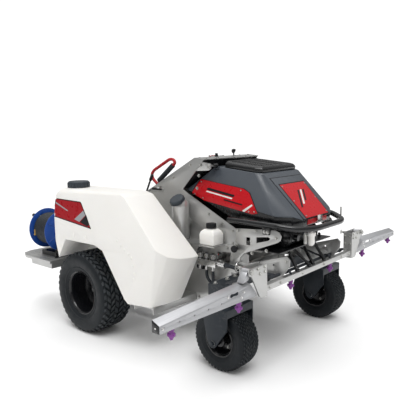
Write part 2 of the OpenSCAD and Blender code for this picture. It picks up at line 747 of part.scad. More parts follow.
// A nozzle body with its fan tip, hanging from a height
module nozzle(y, top) {
  translate([1215, y, 0]) {
    translate([0, 0, top - 26]) cylinder(h = 26, r = 13, $fn = 40);
    translate([0, 0, top - 38]) cylinder(h = 12, r = 17, $fn = 40);
    translate([0, 0, top - 54]) cylinder(h = 16, r1 = 7, r2 = 14, $fn = 40);
  }
}
module centre_nozzles() { color("purple") place() for (s = [-1, 1]) nozzle(s * nozzle_y[0], boom_z[0]); }
module wing_nozzles() {
  nozzle(nozzle_y[1], 451.5);
  nozzle(nozzle_y[2], 465.1);
}
module left_nozzles() { color("purple") place() wing_nozzles(); }
module right_nozzles() { color("purple") place() mirror([0, 1, 0]) wing_nozzles(); }
// A brace with a flat pad at each end, from a high point to a low one
module strut(a, b) {
  bar(a - [0, 0, 8], b + [0, 0, 8], 9);
  translate(a - [0, 0, 14]) cylinder(h = 14, r = 13, $fn = 32);
  translate(b) cylinder(h = 14, r = 13, $fn = 32);
}
module boom_struts() {
  color(c_black) place() both() {
    strut([1150, 140, 592], [1214, 150, boom_z[1]]);
    strut([1120, 60, 592], [1214, 20, boom_z[1]]);
  }
}

// ---------- rear ----------

module reel_shelf() {
  color(c_silver) place() {
    translate([0, 0, 382]) linear_extrude(18) polygon([
      [-345, -690], [-655, -690], [-735, -655], [-764, -590], [-764, -430], [-345, -430]
    ]);
    translate([0, 0, 346]) linear_extrude(36) polygon([
      [-350, -676], [-600, -676], [-690, -630], [-720, -580], [-720, -440], [-350, -440]
    ]);
    for (x = [-556, -400]) block([x, -480, 322], [x + 40, -360, 346]);
  }
}
// Pedestal with one upright and the fixed shaft the drum turns on
module reel_stand() {
  a = reel_flange_x[0] - flange_t;
  up = reel_flange_x[1] + flange_t + 6;
  color(c_black) place() {
    block([-590, -600, 400], [up + 8, -480, 432]);
    translate([up, 0, 0]) rotate([90, 0, 90]) linear_extrude(8)
      polygon([[-620, 400], [-575, 596], [-505, 596], [-460, 400]]);
    pin_x(reel_y, reel_z, a - 12, up, shaft_r);
    pin_x(reel_y, reel_z, a - 12, a - gap, 18);
  }
}
// Drum core between two flanges, the rear one with six windows and the crank spindle
module reel_drum() {
  a = reel_flange_x[0];
  b = reel_flange_x[1];
  color(c_blue) place() {
    difference() {
      union() {
        pin_x(reel_y, reel_z, a - flange_t, a, reel_r, 96);
        pin_x(reel_y, reel_z, b, b + flange_t, reel_r, 96);
        pin_x(reel_y, reel_z, a, b, 52, 96);
      }
      pin_x(reel_y, reel_z, a + 8, b - 8, 46, 72);
      pin_x(reel_y, reel_z, a - flange_t - 1, b + flange_t + 1, shaft_r + run);
      for (k = [0 : 60 : 300])
        pin_x(reel_y + 84 * cos(k), reel_z + 84 * sin(k), a - flange_t - 1, a + 1, 22);
    }
    pin_x(knob_yz[0], knob_yz[1], a - flange_t - 38, a - flange_t, 5, 32);
  }
}
// Spray hose wound on the drum as one block of turns with a ribbed outside
module wound_hose() {
  a = reel_flange_x[0];
  b = reel_flange_x[1];
  turns = floor((b - a) / hose_d);
  pitch = (b - a) / turns;
  color(c_black) place() translate([a, reel_y, reel_z]) rotate([0, 90, 0]) rotate_extrude($fn = 96) {
    translate([52, 0]) square([50, b - a]);
    for (k = [0 : turns - 1]) translate([102, (k + 0.5) * pitch]) circle(r = pitch / 2 - 0.2, $fn = 24);
  }
}
module reel_knob() {
  a = reel_flange_x[0] - flange_t;
  color(c_black) place() difference() {
    pin_x(knob_yz[0], knob_yz[1], a - 40, a - gap, 12);
    pin_x(knob_yz[0], knob_yz[1], a - 38.4, a, 5 + run, 32);
  }
}
// Operator's platform with its hinge barrel
module platform() {
  color(c_silver) place() {
    difference() {
      block([platform_x[0], -platform_half, platform_z[0]], [platform_x[1], platform_half, platform_z[1]]);
      block([platform_x[0] + 10, -platform_half + 10, 200], [platform_x[1] - 10, platform_half - 10, 224]);
    }
    difference() {
      union() {
        pin_y(platform_pin[0], platform_pin[1], -250, 250, 11);
        block([platform_x[1], -240, platform_z[0]], [platform_pin[0], 240, platform_z[0] + 6]);
      }
      pin_y(platform_pin[0], platform_pin[1], -260, 260, platform_pin_r + run);
    }
  }
}

// ---------- controls ----------

// A drive lever: hub on its shaft, red loop and padded grip in one fore-and-aft plane
module drive_lever() {
  place() {
    color(c_red) difference() {
      pin_y(lever_pin[0], lever_pin[1], lever_y - 12, lever_y + 12, 17);
      pin_y(lever_pin[0], lever_pin[1], lever_y - 14, lever_y + 14, 9 + run);
    }
    color(c_red) tube_path([
      [lever_pin[0] - 10, lever_y, lever_pin[1] + 10], [164, lever_y, 934], [150, lever_y, 964],
      [172, lever_y, 992], [322, lever_y, 1068], [356, lever_y, 1066], [370, lever_y, 1046],
      [214, lever_y, 924], [lever_pin[0] + 8, lever_y, lever_pin[1] + 19]
    ], 10);
    color(c_slate) bar([218, lever_y, 927], [352, lever_y, 1032], 17);
  }
}
module left_lever() { drive_lever(); }
module right_lever() { mirror([0, 1, 0]) drive_lever(); }
module throttle_lever() {
  color(c_black) place() {
    difference() {
      union() {
        pin_y(600, 1068, 92, 100, 8);
        block([597, 93, 1072], [603, 99, 1110]);
      }
      pin_y(600, 1068, 80, 110, 3 + run, 32);
    }
    translate([600, 96, 1116]) sphere(r = 9, $fn = 32);
  }
}
module key_switch() {
  color(c_black) place() translate([628, -110, 1075]) {
    cylinder(h = 12, r = 11, $fn = 40);
    translate([-9, -2, 12]) cube([18, 4, 18]);
  }
}
// Parking brake lever on the outside of the tower's right plate
module brake_lever() {
  color(c_black) place() {
    difference() {
      union() {
        pin_y(brake_pin[0], brake_pin[1], -frame_in - 14, -frame_in - gap, 13);
        translate([brake_pin[0], -frame_in - 11, brake_pin[1]]) rotate([0, 28, 0])
          block([-6, -2.5, 8], [6, 2.5, 120]);
      }
      pin_y(brake_pin[0], brake_pin[1], -frame_in - 30, -frame_in, 5 + run, 32);
    }
    translate([brake_pin[0], -frame_in - 11, brake_pin[1]]) rotate([0, 28, 0])
      translate([0, 0, 112]) cylinder(h = 40, r = 10, $fn = 40);
  }
}

main_frame();
nose_plates();
front_beam();
control_tower();
console_panel();
right_tank();
left_tank();
tank_cradles();
fuel_tank();
fuel_neck();
oil_bottle();
bottle_cap();
engine();
muffler();
battery();
spray_pump();
valve_block();
strainer();
transaxles();
drive_belt();
bumper();
tower_front_cover();
centre_boom();
boom_brackets();
boom_struts();
centre_nozzles();
reel_shelf();
reel_stand();
thigh_pad();
platform();
right_tyre();
right_rim();
left_tyre();
left_rim();
right_fork();
right_caster_tyre();
right_caster_rim();
left_fork();
left_caster_tyre();
left_caster_rim();
right_wing();
right_nozzles();
left_wing();
left_nozzles();
hood();
intake_grille();
hood_latch();
reel_drum();
wound_hose();
reel_knob();
right_lid();
left_lid();
fuel_cap();
right_lever();
left_lever();
throttle_lever();
brake_lever();
key_switch();
engine_pulley();
pump_pulley();
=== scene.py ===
"""Looks of a stand-on turf sprayer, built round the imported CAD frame."""
import json
import math

import bmesh
import bpy
from mathutils import Matrix, Vector
from mathutils.bvhtree import BVHTree


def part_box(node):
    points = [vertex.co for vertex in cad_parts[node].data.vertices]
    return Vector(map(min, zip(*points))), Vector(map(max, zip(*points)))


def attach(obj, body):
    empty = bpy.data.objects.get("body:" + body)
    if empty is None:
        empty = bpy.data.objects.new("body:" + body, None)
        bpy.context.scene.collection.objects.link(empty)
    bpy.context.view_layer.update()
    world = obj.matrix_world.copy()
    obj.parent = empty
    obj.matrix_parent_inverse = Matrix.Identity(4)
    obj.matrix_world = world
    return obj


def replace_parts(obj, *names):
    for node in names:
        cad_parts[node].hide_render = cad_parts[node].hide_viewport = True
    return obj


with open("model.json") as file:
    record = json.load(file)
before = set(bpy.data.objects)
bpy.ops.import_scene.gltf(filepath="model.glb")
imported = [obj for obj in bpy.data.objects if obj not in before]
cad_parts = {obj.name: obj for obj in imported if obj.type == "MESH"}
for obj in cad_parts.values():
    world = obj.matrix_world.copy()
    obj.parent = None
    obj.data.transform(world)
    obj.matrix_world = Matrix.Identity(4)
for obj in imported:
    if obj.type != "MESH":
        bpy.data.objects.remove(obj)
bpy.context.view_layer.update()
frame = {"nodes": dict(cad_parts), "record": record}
NODES = frame["nodes"]
BODY_OF = {n: b for b, ns in frame["record"]["behaviour"]["bodies"].items() for n in ns}
SLOT_OF = {s["node"]: s["material_slot"] for s in frame["record"]["subparts"]}
MM = 0.001
SIDES = ((-1, "right"), (1, "left"))
FORE, LEFT, UP = Vector((1, 0, 0)), Vector((0, 1, 0)), Vector((0, 0, 1))


def middle(node):
    """Centre of a CAD node's box."""
    lo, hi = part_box(node)
    return (lo + hi) / 2


AXLE_X = middle("right_tyre").x


def at(ahead, y, z):
    """A point given in millimetres ahead of the rear axle, to the left and up."""
    return Vector((AXLE_X + ahead * MM, y * MM, z * MM))


def spot(p):
    """A finished point as it is, or a place in millimetres turned into one."""
    return p if isinstance(p, Vector) else at(*p)


def turns(count, start=0.0):
    """Equal angles once round, without the last one."""
    return [start + math.tau * k / count for k in range(count)]


def circle(centre, radius, u, v, count):
    """Points once round a circle in the plane of u and v, back to the first; radius in mm."""
    return [spot(centre) + (u * math.cos(a) + v * math.sin(a)) * (radius * MM)
            for a in turns(count) + [math.tau]]


# ---------------------------------------------------------------- camera, light and floor

CAM_VIEW = (-0.6600, 0.7405, -0.1270)
CAM_ROLL = -1.085
CAM_AT = (2557, -2432, 1207)
CAM_LENS, CAM_SENSOR = 44.68, 36
SUNS = {  # direction, power, width in degrees
    "key_light": ((1.8, -1.6, 5.0), 1.2, 30),
    "top_light": ((-1.0, 0.8, 5.0), 0.75, 50),
    "side_light": ((-1.0, -5.0, 2.4), 0.12, 30),
}
SEEN_GLOW = 1.1
GLOW_HEIGHTS = (-0.05, 0.9)
GLOW_LEVELS = (0.1, 0.8)
FLOOR_HALF = 14.0


def link_new(name, data):
    """A new object in the scene."""
    obj = bpy.data.objects.new(name, data)
    bpy.context.scene.collection.objects.link(obj)
    return obj


def make_camera():
    """Camera in front of the machine and to its right."""
    data = bpy.data.cameras.new("camera")
    data.lens = CAM_LENS
    data.sensor_width = CAM_SENSOR
    cam = link_new("camera", data)
    view = Vector(CAM_VIEW).normalized()
    right = view.cross(UP).normalized()
    up = right.cross(view)
    roll = math.radians(CAM_ROLL)
    r = right * math.cos(roll) + up * math.sin(roll)
    u = up * math.cos(roll) - right * math.sin(roll)
    cam.matrix_world = Matrix((
        (r.x, u.x, -view.x, 0), (r.y, u.y, -view.y, 0), (r.z, u.z, -view.z, 0), (0, 0, 0, 1)))
    cam.location = at(*CAM_AT)
    bpy.context.scene.camera = cam


def soft_sun(name, place, power, width):
    """A wide sun: even light over the whole floor, with a soft shadow."""
    data = bpy.data.lights.new(name, "SUN")
    data.energy = power
    data.angle = math.radians(width)
    lamp = link_new(name, data)
    lamp.location = place
    lamp.rotation_euler = (-Vector(place)).to_track_quat("-Z", "Y").to_euler()


def make_stage():
    """Plain pale floor, white surroundings that glow more from above, and three wide suns."""
    world = bpy.data.worlds.new("studio")
    bpy.context.scene.world = world
    bpy.context.scene.view_settings.view_transform = "Standard"
    world.use_nodes = True
    tree = world.node_tree
    back = tree.nodes["Background"]
    back.inputs["Color"].default_value = (1, 1, 1, 1)
    seen = tree.nodes.new("ShaderNodeLightPath").outputs["Is Camera Ray"]
    height = tree.nodes.new("ShaderNodeSeparateXYZ")
    tree.links.new(tree.nodes.new("ShaderNodeTexCoord").outputs["Generated"], height.inputs["Vector"])
    glow = tree.nodes.new("ShaderNodeMapRange")
    glow.inputs["From Min"].default_value, glow.inputs["From Max"].default_value = GLOW_HEIGHTS
    glow.inputs["To Min"].default_value, glow.inputs["To Max"].default_value = GLOW_LEVELS
    tree.links.new(height.outputs["Z"], glow.inputs["Value"])
    level = tree.nodes.new("ShaderNodeMapRange")
    level.inputs["To Max"].default_value = SEEN_GLOW
    tree.links.new(glow.outputs["Result"], level.inputs["To Min"])
    tree.links.new(seen, level.inputs["Value"])
    tree.links.new(level.outputs["Result"], back.inputs["Strength"])
    for name, values in SUNS.items():
        soft_sun(name, *values)
    mesh = bpy.data.meshes.new("floor")
    corners = [(i * FLOOR_HALF, j * FLOOR_HALF, 0) for i, j in ((-1, -1), (1, -1), (1, 1), (-1, 1))]
    mesh.from_pydata(corners, [], [(0, 1, 2, 3)])
    floor = link_new("floor", mesh)
    mat = bpy.data.materials.new("floor_paint")
    mat.use_nodes = True
    shader = mat.node_tree.nodes["Principled BSDF"]
    shader.inputs["Base Color"].default_value = (1, 1, 1, 1)
    shader.inputs["Roughness"].default_value = 0.9
    mesh.materials.append(mat)


# ---------------------------------------------------------------- materials

class Nodes:
    """Small helper that adds and links shader nodes in one material."""

    def __init__(self, name):
        self.mat = bpy.data.materials.new(name)
        self.mat.use_nodes = True
        self.tree = self.mat.node_tree
        self.shader = self.tree.nodes["Principled BSDF"]
        self.coord = self.tree.nodes.new("ShaderNodeTexCoord").outputs["Object"]

    def add(self, kind, sockets=(), **values):
        """A node with its settings and the constant values of some inputs."""
        node = self.tree.nodes.new(kind)
        for key, value in values.items():
            setattr(node, key, value)
        for key, value in dict(sockets).items():
            node.inputs[key].default_value = value
        return node

    def link(self, a, b):
        self.tree.links.new(a, b)

    def noise(self, scale, detail=4.0, rough=0.55, stretch=(1, 1, 1)):
        """Noise value over the object's own coordinates."""
        mapping = self.add("ShaderNodeMapping", {"Scale": stretch})
        self.link(self.coord, mapping.inputs["Vector"])
        tex = self.add("ShaderNodeTexNoise", {"Scale": scale, "Detail": detail, "Roughness": rough})
        self.link(mapping.outputs["Vector"], tex.inputs["Vector"])
        return tex.outputs["Fac"]

    def remap(self, value, low, high, to_low=0, to_high=1):
        node = self.add("ShaderNodeMapRange",
                        {"From Min": low, "From Max": high, "To Min": to_low, "To Max": to_high})
        self.link(value, node.inputs["Value"])
        return node.outputs["Result"]

    def mix(self, fac, a, b):
        """Colour mix; a and b are colours or sockets."""
        node = self.add("ShaderNodeMix", data_type="RGBA")
        self.link(fac, node.inputs["Factor"])
        for name, value in (("A", a), ("B", b)):
            socket = [s for s in node.inputs if s.name == name and s.type == "RGBA"][0]
            if isinstance(value, tuple):
                socket.default_value = (*value, 1)
            else:
                self.link(value, socket)
        return [s for s in node.outputs if s.type == "RGBA"][0]

    def bump(self, value, strength, distance):
        node = self.add("ShaderNodeBump", {"Strength": strength, "Distance": distance})
        self.link(value, node.inputs["Height"])
        self.link(node.outputs["Normal"], self.shader.inputs["Normal"])

    def put(self, **values):
        """Constant values on the shader; underscores stand for spaces."""
        for key, value in values.items():
            self.shader.inputs[key.replace("_", " ")].default_value = value


DUST = (0.3, 0.285, 0.25)


def shade(colour, factor):
    return tuple(min(1.0, c * factor) for c in colour)


def surface(name, colour, rough, metal=0.0, spread=0.1, grain=1600, bump=0.1, depth=0.0004, wear=None,
            dust=0.02, coat=0.0, specular=0.5, broad=6.0, subsurface=0.0, vary=0.1):
    """A finish with slow colour drift, fine grain, gloss variation, dust and worn edges."""
    n = Nodes(name)
    base = n.mix(n.remap(n.noise(broad, 3.0), 0.3, 0.7), shade(colour, 1 - spread), shade(colour, 1 + spread))
    if dust:
        base = n.mix(n.remap(n.noise(18, 5.0, 0.65), 0.5, 0.85, 0, dust), base, DUST)
    if wear:
        edges = n.add("ShaderNodeNewGeometry").outputs["Pointiness"]
        mask = n.add("ShaderNodeMath", operation="MULTIPLY")
        n.link(n.remap(edges, 0.53, 0.62), mask.inputs[0])
        n.link(n.remap(n.noise(55, 5.0, 0.7), 0.5, 0.66, 0, 0.7), mask.inputs[1])
        base = n.mix(mask.outputs[0], base, wear)
    n.link(base, n.shader.inputs["Base Color"])
    gloss = n.remap(n.noise(30, 5.0), 0.3, 0.7, max(0.03, rough - vary * 0.7), min(1.0, rough + vary))
    n.link(gloss, n.shader.inputs["Roughness"])
    n.put(Metallic=metal, Specular_IOR_Level=specular, Coat_Weight=coat, Coat_Roughness=0.12)
    if subsurface:
        n.put(Subsurface_Weight=subsurface, Subsurface_Radius=(0.02, 0.018, 0.014))
    n.bump(n.noise(grain, 2.0), bump, depth)
    return n.mat


def brushed(name, colour, rough, stretch, metal=1.0):
    """Metal with a directional brushed or extruded grain."""
    n = Nodes(name)
    line = n.noise(260, 3.0, 0.6, stretch)
    base = n.mix(n.remap(line, 0.3, 0.7), shade(colour, 0.9), shade(colour, 1.06))
    base = n.mix(n.remap(n.noise(14, 4.0, 0.6), 0.52, 0.8, 0, 0.3), base, shade(colour, 0.6))
    n.link(base, n.shader.inputs["Base Color"])
    n.link(n.remap(line, 0.3, 0.7, rough - 0.06, rough + 0.1), n.shader.inputs["Roughness"])
    n.put(Metallic=metal)
    n.bump(line, 0.08, 0.0003)
    return n.mat


GREY_WEAR, DARK_WEAR = (0.12, 0.12, 0.12), (0.05, 0.05, 0.05)
FINISHES = {
    "silver_paint": dict(colour=(0.5, 0.5, 0.49), rough=0.32, metal=0.7, spread=0.04, grain=1400, bump=0.08,
                         dust=0.0, vary=0.03),
    "slate_paint": dict(colour=(0.014, 0.019, 0.025), rough=0.38, metal=0.1, grain=1400, wear=GREY_WEAR,
                        specular=0.35, vary=0.05),
    "black_paint": dict(colour=(0.006, 0.0065, 0.0075), rough=0.17, bump=0.05, wear=DARK_WEAR, dust=0.01,
                        coat=0.15, specular=0.45, vary=0.05),
    "white_poly": dict(colour=(0.9, 0.885, 0.85), rough=0.46, spread=0.02, grain=700, bump=0.25, depth=0.0006,
                       specular=0.3, subsurface=0.08, broad=3.0),
    "hood_plastic": dict(colour=(0.062, 0.072, 0.086), rough=0.36, spread=0.06, grain=2200, bump=0.12,
                         depth=0.0003, dust=0.03, broad=4.0, coat=0.1),
    "black_plastic": dict(colour=(0.009, 0.0095, 0.011), rough=0.5, spread=0.15, grain=1800, bump=0.3,
                          dust=0.03, specular=0.3),
    "cap_plastic": dict(colour=(0.036, 0.045, 0.055), rough=0.42, spread=0.12, grain=1800, bump=0.25,
                        dust=0.04, specular=0.35),
    "tyre_rubber": dict(colour=(0.007, 0.0095, 0.012), rough=0.5, spread=0.2, grain=800, bump=0.3,
                        specular=0.26),
    # tread block tops: lighter than the sidewall rubber, partly real dust and scuffing, partly a painted
    # highlight
    "tread_dust_and_highlight": dict(colour=(0.032, 0.037, 0.041), rough=0.65, spread=0.3, grain=800, bump=0.4,
                         depth=0.0005, dust=0.12, specular=0.25),
    "rim_black": dict(colour=(0.006, 0.0065, 0.008), rough=0.22, spread=0.15, bump=0.08, wear=DARK_WEAR,
                      dust=0.01, coat=0.15, specular=0.4, vary=0.05),
    "red_paint": dict(colour=(0.43, 0.006, 0.012), rough=0.34, spread=0.08, wear=(0.25, 0.2, 0.18), coat=0.12,
                      specular=0.35),
    "blue_paint": dict(colour=(0.014, 0.07, 0.33), rough=0.36, spread=0.08, grain=1400, wear=(0.1, 0.12, 0.2),
                       dust=0.03, coat=0.1, specular=0.35),
    "hose_rubber": dict(colour=(0.024, 0.028, 0.034), rough=0.48, spread=0.15, grain=900, bump=0.25,
                        dust=0.04, specular=0.35),
    "bright_metal": dict(colour=(0.6, 0.6, 0.59), rough=0.2, metal=1.0, spread=0.05, grain=900, bump=0.05,
                         dust=0.03),
    "purple_plastic": dict(colour=(0.2, 0.042, 0.25), rough=0.36, grain=1200, bump=0.12, coat=0.05,
                           specular=0.35),
    "engine_alloy": dict(colour=(0.014, 0.0145, 0.016), rough=0.5, metal=0.3, spread=0.2, grain=500, bump=0.4,
                         depth=0.0006, wear=GREY_WEAR, dust=0.06),
    "foam_pad": dict(colour=(0.014, 0.015, 0.018), rough=0.6, spread=0.15, grain=1500, bump=0.4, depth=0.0005,
                     dust=0.04, specular=0.3),
    "grip_foam": dict(colour=(0.025, 0.03, 0.036), rough=0.65, spread=0.12, grain=1500, bump=0.5,
                      depth=0.0005, dust=0.03, specular=0.3),
    "red_decal": dict(colour=(0.52, 0.002, 0.008), rough=0.3, spread=0.04, grain=2200, bump=0.04, dust=0.01,
                      coat=0.1, specular=0.3),
    "dark_red_decal": dict(colour=(0.34, 0.003, 0.009), rough=0.3, spread=0.04, grain=2200, bump=0.04,
                           dust=0.01, coat=0.1, specular=0.3),
    "gloss_black": dict(colour=(0.005, 0.0055, 0.0065), rough=0.26, grain=1800, depth=0.0003, dust=0.01,
                        coat=0.1, specular=0.4, vary=0.05),
    "black_decal": dict(colour=(0.006, 0.006, 0.008), rough=0.34, grain=2200, bump=0.04, dust=0.01,
                        specular=0.3),
    "white_decal": dict(colour=(0.8, 0.79, 0.76), rough=0.34, spread=0.03, grain=2200, bump=0.04),
    "grey_decal": dict(colour=(0.33, 0.33, 0.35), rough=0.34, spread=0.05, grain=2200, bump=0.04),
    "zinc_bolt": dict(colour=(0.45, 0.45, 0.43), rough=0.32, metal=0.9, grain=900, bump=0.08, dust=0.06),
    "brass": dict(colour=(0.5, 0.33, 0.12), rough=0.3, metal=1.0, grain=900, bump=0.08, dust=0.05),
}
MAT = {name: surface(name, **values) for name, values in FINISHES.items()}
MAT["wing_metal"] = brushed("wing_metal", (0.46, 0.465, 0.48), 0.38, (1, 0.03, 1), 0.55)
MAT["bare_steel"] = brushed("bare_steel", (0.42, 0.42, 0.41), 0.3, (1, 1, 0.06))

# ---------------------------------------------------------------- mesh tools


def add_object(name, shape, material, body):
    """Makes a piece from a mesh, finished or under construction, and lets it ride on a body."""
    obj = link_new(name, finish_mesh(shape, name) if isinstance(shape, bmesh.types.BMesh) else shape)
    materials = [material] if isinstance(material, str) else material
    for key in materials:
        obj.data.materials.append(MAT[key])
    all_smooth(obj.data)
    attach(obj, body)
    return obj


def all_smooth(mesh):
    mesh.polygons.foreach_set("use_smooth", [True] * len(mesh.polygons))


def finish_mesh(bm, name):
    mesh = bpy.data.meshes.new(name)
    bmesh.ops.recalc_face_normals(bm, faces=bm.faces)
    bm.to_mesh(mesh)
    bm.free()
    return mesh


def piece(name, bm, material, body="chassis", angle=35, stands_for=None):
    """A finished piece, smooth up to an edge angle, in place of a CAD node if one is named."""
    obj = add_object(name, bm, material, body)
    sharp_smooth(obj, angle)
    if stands_for:
        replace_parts(obj, stands_for)
    return obj


def apply_modifiers(obj):
    """Replaces the mesh by its modified form."""
    graph = bpy.context.evaluated_depsgraph_get()
    done = bpy.data.meshes.new_from_object(obj.evaluated_get(graph))
    obj.modifiers.clear()
    old = obj.data
    obj.data = done
    bpy.data.meshes.remove(old)


def bevel(obj, width, segments=2, angle=28, miter="MITER_SHARP"):
    """Rounds the sharp edges and keeps the flats flat; width in mm."""
    mod = obj.modifiers.new("bevel", "BEVEL")
    mod.width = width * MM
    mod.segments = segments
    mod.limit_method = "ANGLE"
    mod.angle_limit = math.radians(angle)
    mod.harden_normals = True
    mod.use_clamp_overlap = True
    mod.miter_outer = miter
    apply_modifiers(obj)


def sharp_smooth(obj, angle=35):
    """Smooth shading that breaks at edges sharper than the angle."""
    all_smooth(obj.data)
    bm = bmesh.new()
    bm.from_mesh(obj.data)
    for edge in bm.edges:
        if len(edge.link_faces) == 2:
            edge.smooth = edge.calc_face_angle(0) < math.radians(angle)
    bm.to_mesh(obj.data)
    bm.free()


def refine(node, width=1.2, segments=2, material=None):
    """A copy of a CAD node with rounded edges, standing in for it."""
    mesh = NODES[node].data.copy()
    mesh.materials.clear()
    bm = bmesh.new()
    bm.from_mesh(mesh)
    bmesh.ops.remove_doubles(bm, verts=bm.verts, dist=1e-5)
    bmesh.ops.dissolve_limit(bm, angle_limit=math.radians(1.0), verts=bm.verts, edges=bm.edges)
    bm.to_mesh(mesh)
    bm.free()
    obj = add_object(node + "_body", mesh, material or SLOT_OF[node], BODY_OF[node])
    bevel(obj, width, segments, 30)
    sharp_smooth(obj, 38)
    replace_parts(obj, node)
    return obj


def skin(bm, loops, caps=True):
    """Faces between neighbouring loops of equal length, and over both ends."""
    for a, b in zip(loops, loops[1:]):
        for k in range(len(a)):
            m = (k + 1) % len(a)
            bm.faces.new((a[k], a[m], b[m], b[k]))
    if caps:
        bm.faces.new(list(reversed(loops[0])))
        bm.faces.new(loops[-1])


def prism(bm, outline, place, depth):
    """Adds a plate: outline is 2D points in mm, place turns (u, v, w) in mm into a point."""
    skin(bm, [[bm.verts.new(place(u, v, w)) for u, v in outline] for w in (0, depth)])


def extruded(name, outline, place, depth, material, body="chassis", round_mm=1.0, segments=2):
    """A flat plate with rounded edges."""
    bm = bmesh.new()
    prism(bm, outline, place, depth)
    obj = add_object(name, bm, material, body)
    if round_mm:
        bevel(obj, round_mm, segments)
    sharp_smooth(obj)
    return obj


def revolved(bm, profile, steps, centre, axis, caps=False):
    """Adds a form turned from profile points (radius, along) in mm about an axis."""
    along = Vector(axis).normalized()
    side = along.orthogonal().normalized()
    if abs(along.x) > 0.9:
        side = LEFT
    elif max(abs(along.y), abs(along.z)) > 0.9:
        side = FORE
    other = along.cross(side)
    rays = [side * math.cos(a) + other * math.sin(a) for a in turns(steps)]
    base = spot(centre)
    skin(bm, [[bm.verts.new(base + ray * (r * MM) + along * (h * MM)) for ray in rays] for r, h in profile],
         caps)


def turned(name, profile, centre, axis, material, body="chassis", steps=64, angle=35, caps=False):
    """A turned piece."""
    bm = bmesh.new()
    revolved(bm, profile, steps, centre, axis, caps)
    return piece(name, bm, material, body, angle)


def shell_ring(bm, profile, steps, centre, axis):
    """Adds a turned ring whose profile closes on itself."""
    revolved(bm, profile + [profile[0]], steps, centre, axis)
    bmesh.ops.remove_doubles(bm, verts=bm.verts, dist=1e-6)


def rounded_path(points, radius, steps=6):
    """Points of a path whose corners are rounded with the given radius in mm."""
    pts = [spot(p) for p in points]
    out = [pts[0]]
    for i in range(1, len(pts) - 1):
        a = pts[i - 1] - pts[i]
        b = pts[i + 1] - pts[i]
        cut = min(radius * MM, a.length * 0.49, b.length * 0.49)
        start = pts[i] + a.normalized() * cut
        end = pts[i] + b.normalized() * cut
        for k in range(steps + 1):
            t = k / steps
            out.append(start.lerp(pts[i], t).lerp(pts[i].lerp(end, t), t))
    out.append(pts[-1])
    return out


def sweep(bm, path, radius, sides=16, caps=True):
    """Adds a round tube along a path; radius in mm, or a function of the share of the way."""
    pts = [path[0]]
    for p in path[1:]:
        if (p - pts[-1]).length > 1e-5:
            pts.append(p)
    last = len(pts) - 1
    tangents = [(pts[min(last, i + 1)] - pts[max(0, i - 1)]).normalized() for i in range(last + 1)]
    normal = tangents[0].orthogonal().normalized()
    rings = []
    for i, (p, t) in enumerate(zip(pts, tangents)):
        normal = (normal - t * normal.dot(t)).normalized()
        other = t.cross(normal)
        r = radius(i / last) if callable(radius) else radius
        rings.append([bm.verts.new(p + (normal * math.cos(a) + other * math.sin(a)) * (r * MM))
                      for a in turns(sides)])
    skin(bm, rings, caps)


def tube(name, points, radius, material="hose_rubber", bend=30, sides=16, body="chassis"):
    """A bent round tube or hose through points, with rounded corners."""
    return coil(name, rounded_path(points, bend), radius, material, sides, body)


def coil(name, path, radius, material, sides, body="chassis"):
    """A round tube that follows a fine path as it is."""
    bm = bmesh.new()
    sweep(bm, path, radius, sides)
    return piece(name, bm, material, body, 50)


def add_hex(bm, centre, axis, size, height):
    """Adds a hexagon bolt head, on a washer, standing on a face; sizes in mm."""
    along = Vector(axis).normalized()
    side = along.orthogonal().normalized()
    other = along.cross(side)

    def ring(radius, level, count):
        return [bm.verts.new(spot(centre) + (side * math.cos(a) + other * math.sin(a)) * radius * MM
                             + along * level * MM) for a in turns(count)]

    lift = 1.6
    skin(bm, [ring(size * 1.45, 0, 20), ring(size * 1.45, 1.2, 20), ring(size * 1.38, lift, 20)])
    skin(bm, [ring(size, lift, 6), ring(size, lift + height * 0.8, 6), ring(size * 0.86, lift + height, 6)])


def bolts(name, places, size, body="chassis", material="zinc_bolt", height=None):
    """A set of bolt heads on one body; places are (point, outward axis)."""
    bm = bmesh.new()
    for point, axis in places:
        add_hex(bm, point, axis, size, height or size * 0.9)
    piece(name, bm, material, body, 30)


def side_pair(y, places):
    """Bolt places (ahead, z) on both faces at the distance y from the centre plane."""
    return [((x, s * y, z), (0, s, 0)) for x, z in places for s in (-1, 1)]


def cut(obj, bm):
    """Cuts the form under construction out of a piece."""
    cutter = link_new("cutter", finish_mesh(bm, "cutter"))
    mod = obj.modifiers.new("cut", "BOOLEAN")
    mod.operation = "DIFFERENCE"
    mod.solver = "EXACT"
    mod.object = cutter
    apply_modifiers(obj)
    bpy.data.objects.remove(cutter)


def add_box(bm, low, high):
    """Adds a box between two corners."""
    (x0, y0, z0), (x1, y1, z1) = low, high
    skin(bm, [[bm.verts.new((x, y, z)) for x, y in ((x0, y0), (x1, y0), (x1, y1), (x0, y1))]
              for z in (z0, z1)])


def cut_away(bm, point, normal):
    """Removes what lies beyond a plane and closes the cut."""
    geom = bm.verts[:] + bm.edges[:] + bm.faces[:]
    done = bmesh.ops.bisect_plane(bm, geom=geom, plane_co=spot(point), plane_no=normal, clear_outer=True)
    edges = [e for e in done["geom_cut"] if isinstance(e, bmesh.types.BMEdge)]
    bmesh.ops.contextual_create(bm, geom=edges)


def hull_mesh(bm, points):
    """Adds the convex form round some points."""
    result = bmesh.ops.convex_hull(bm, input=[bm.verts.new(p) for p in points])
    drop = [v for v in result["geom_interior"] + result["geom_unused"] if isinstance(v, bmesh.types.BMVert)]
    if drop:
        bmesh.ops.delete(bm, geom=drop, context="VERTS")
    bmesh.ops.dissolve_limit(bm, angle_limit=math.radians(0.4), verts=bm.verts, edges=bm.edges)


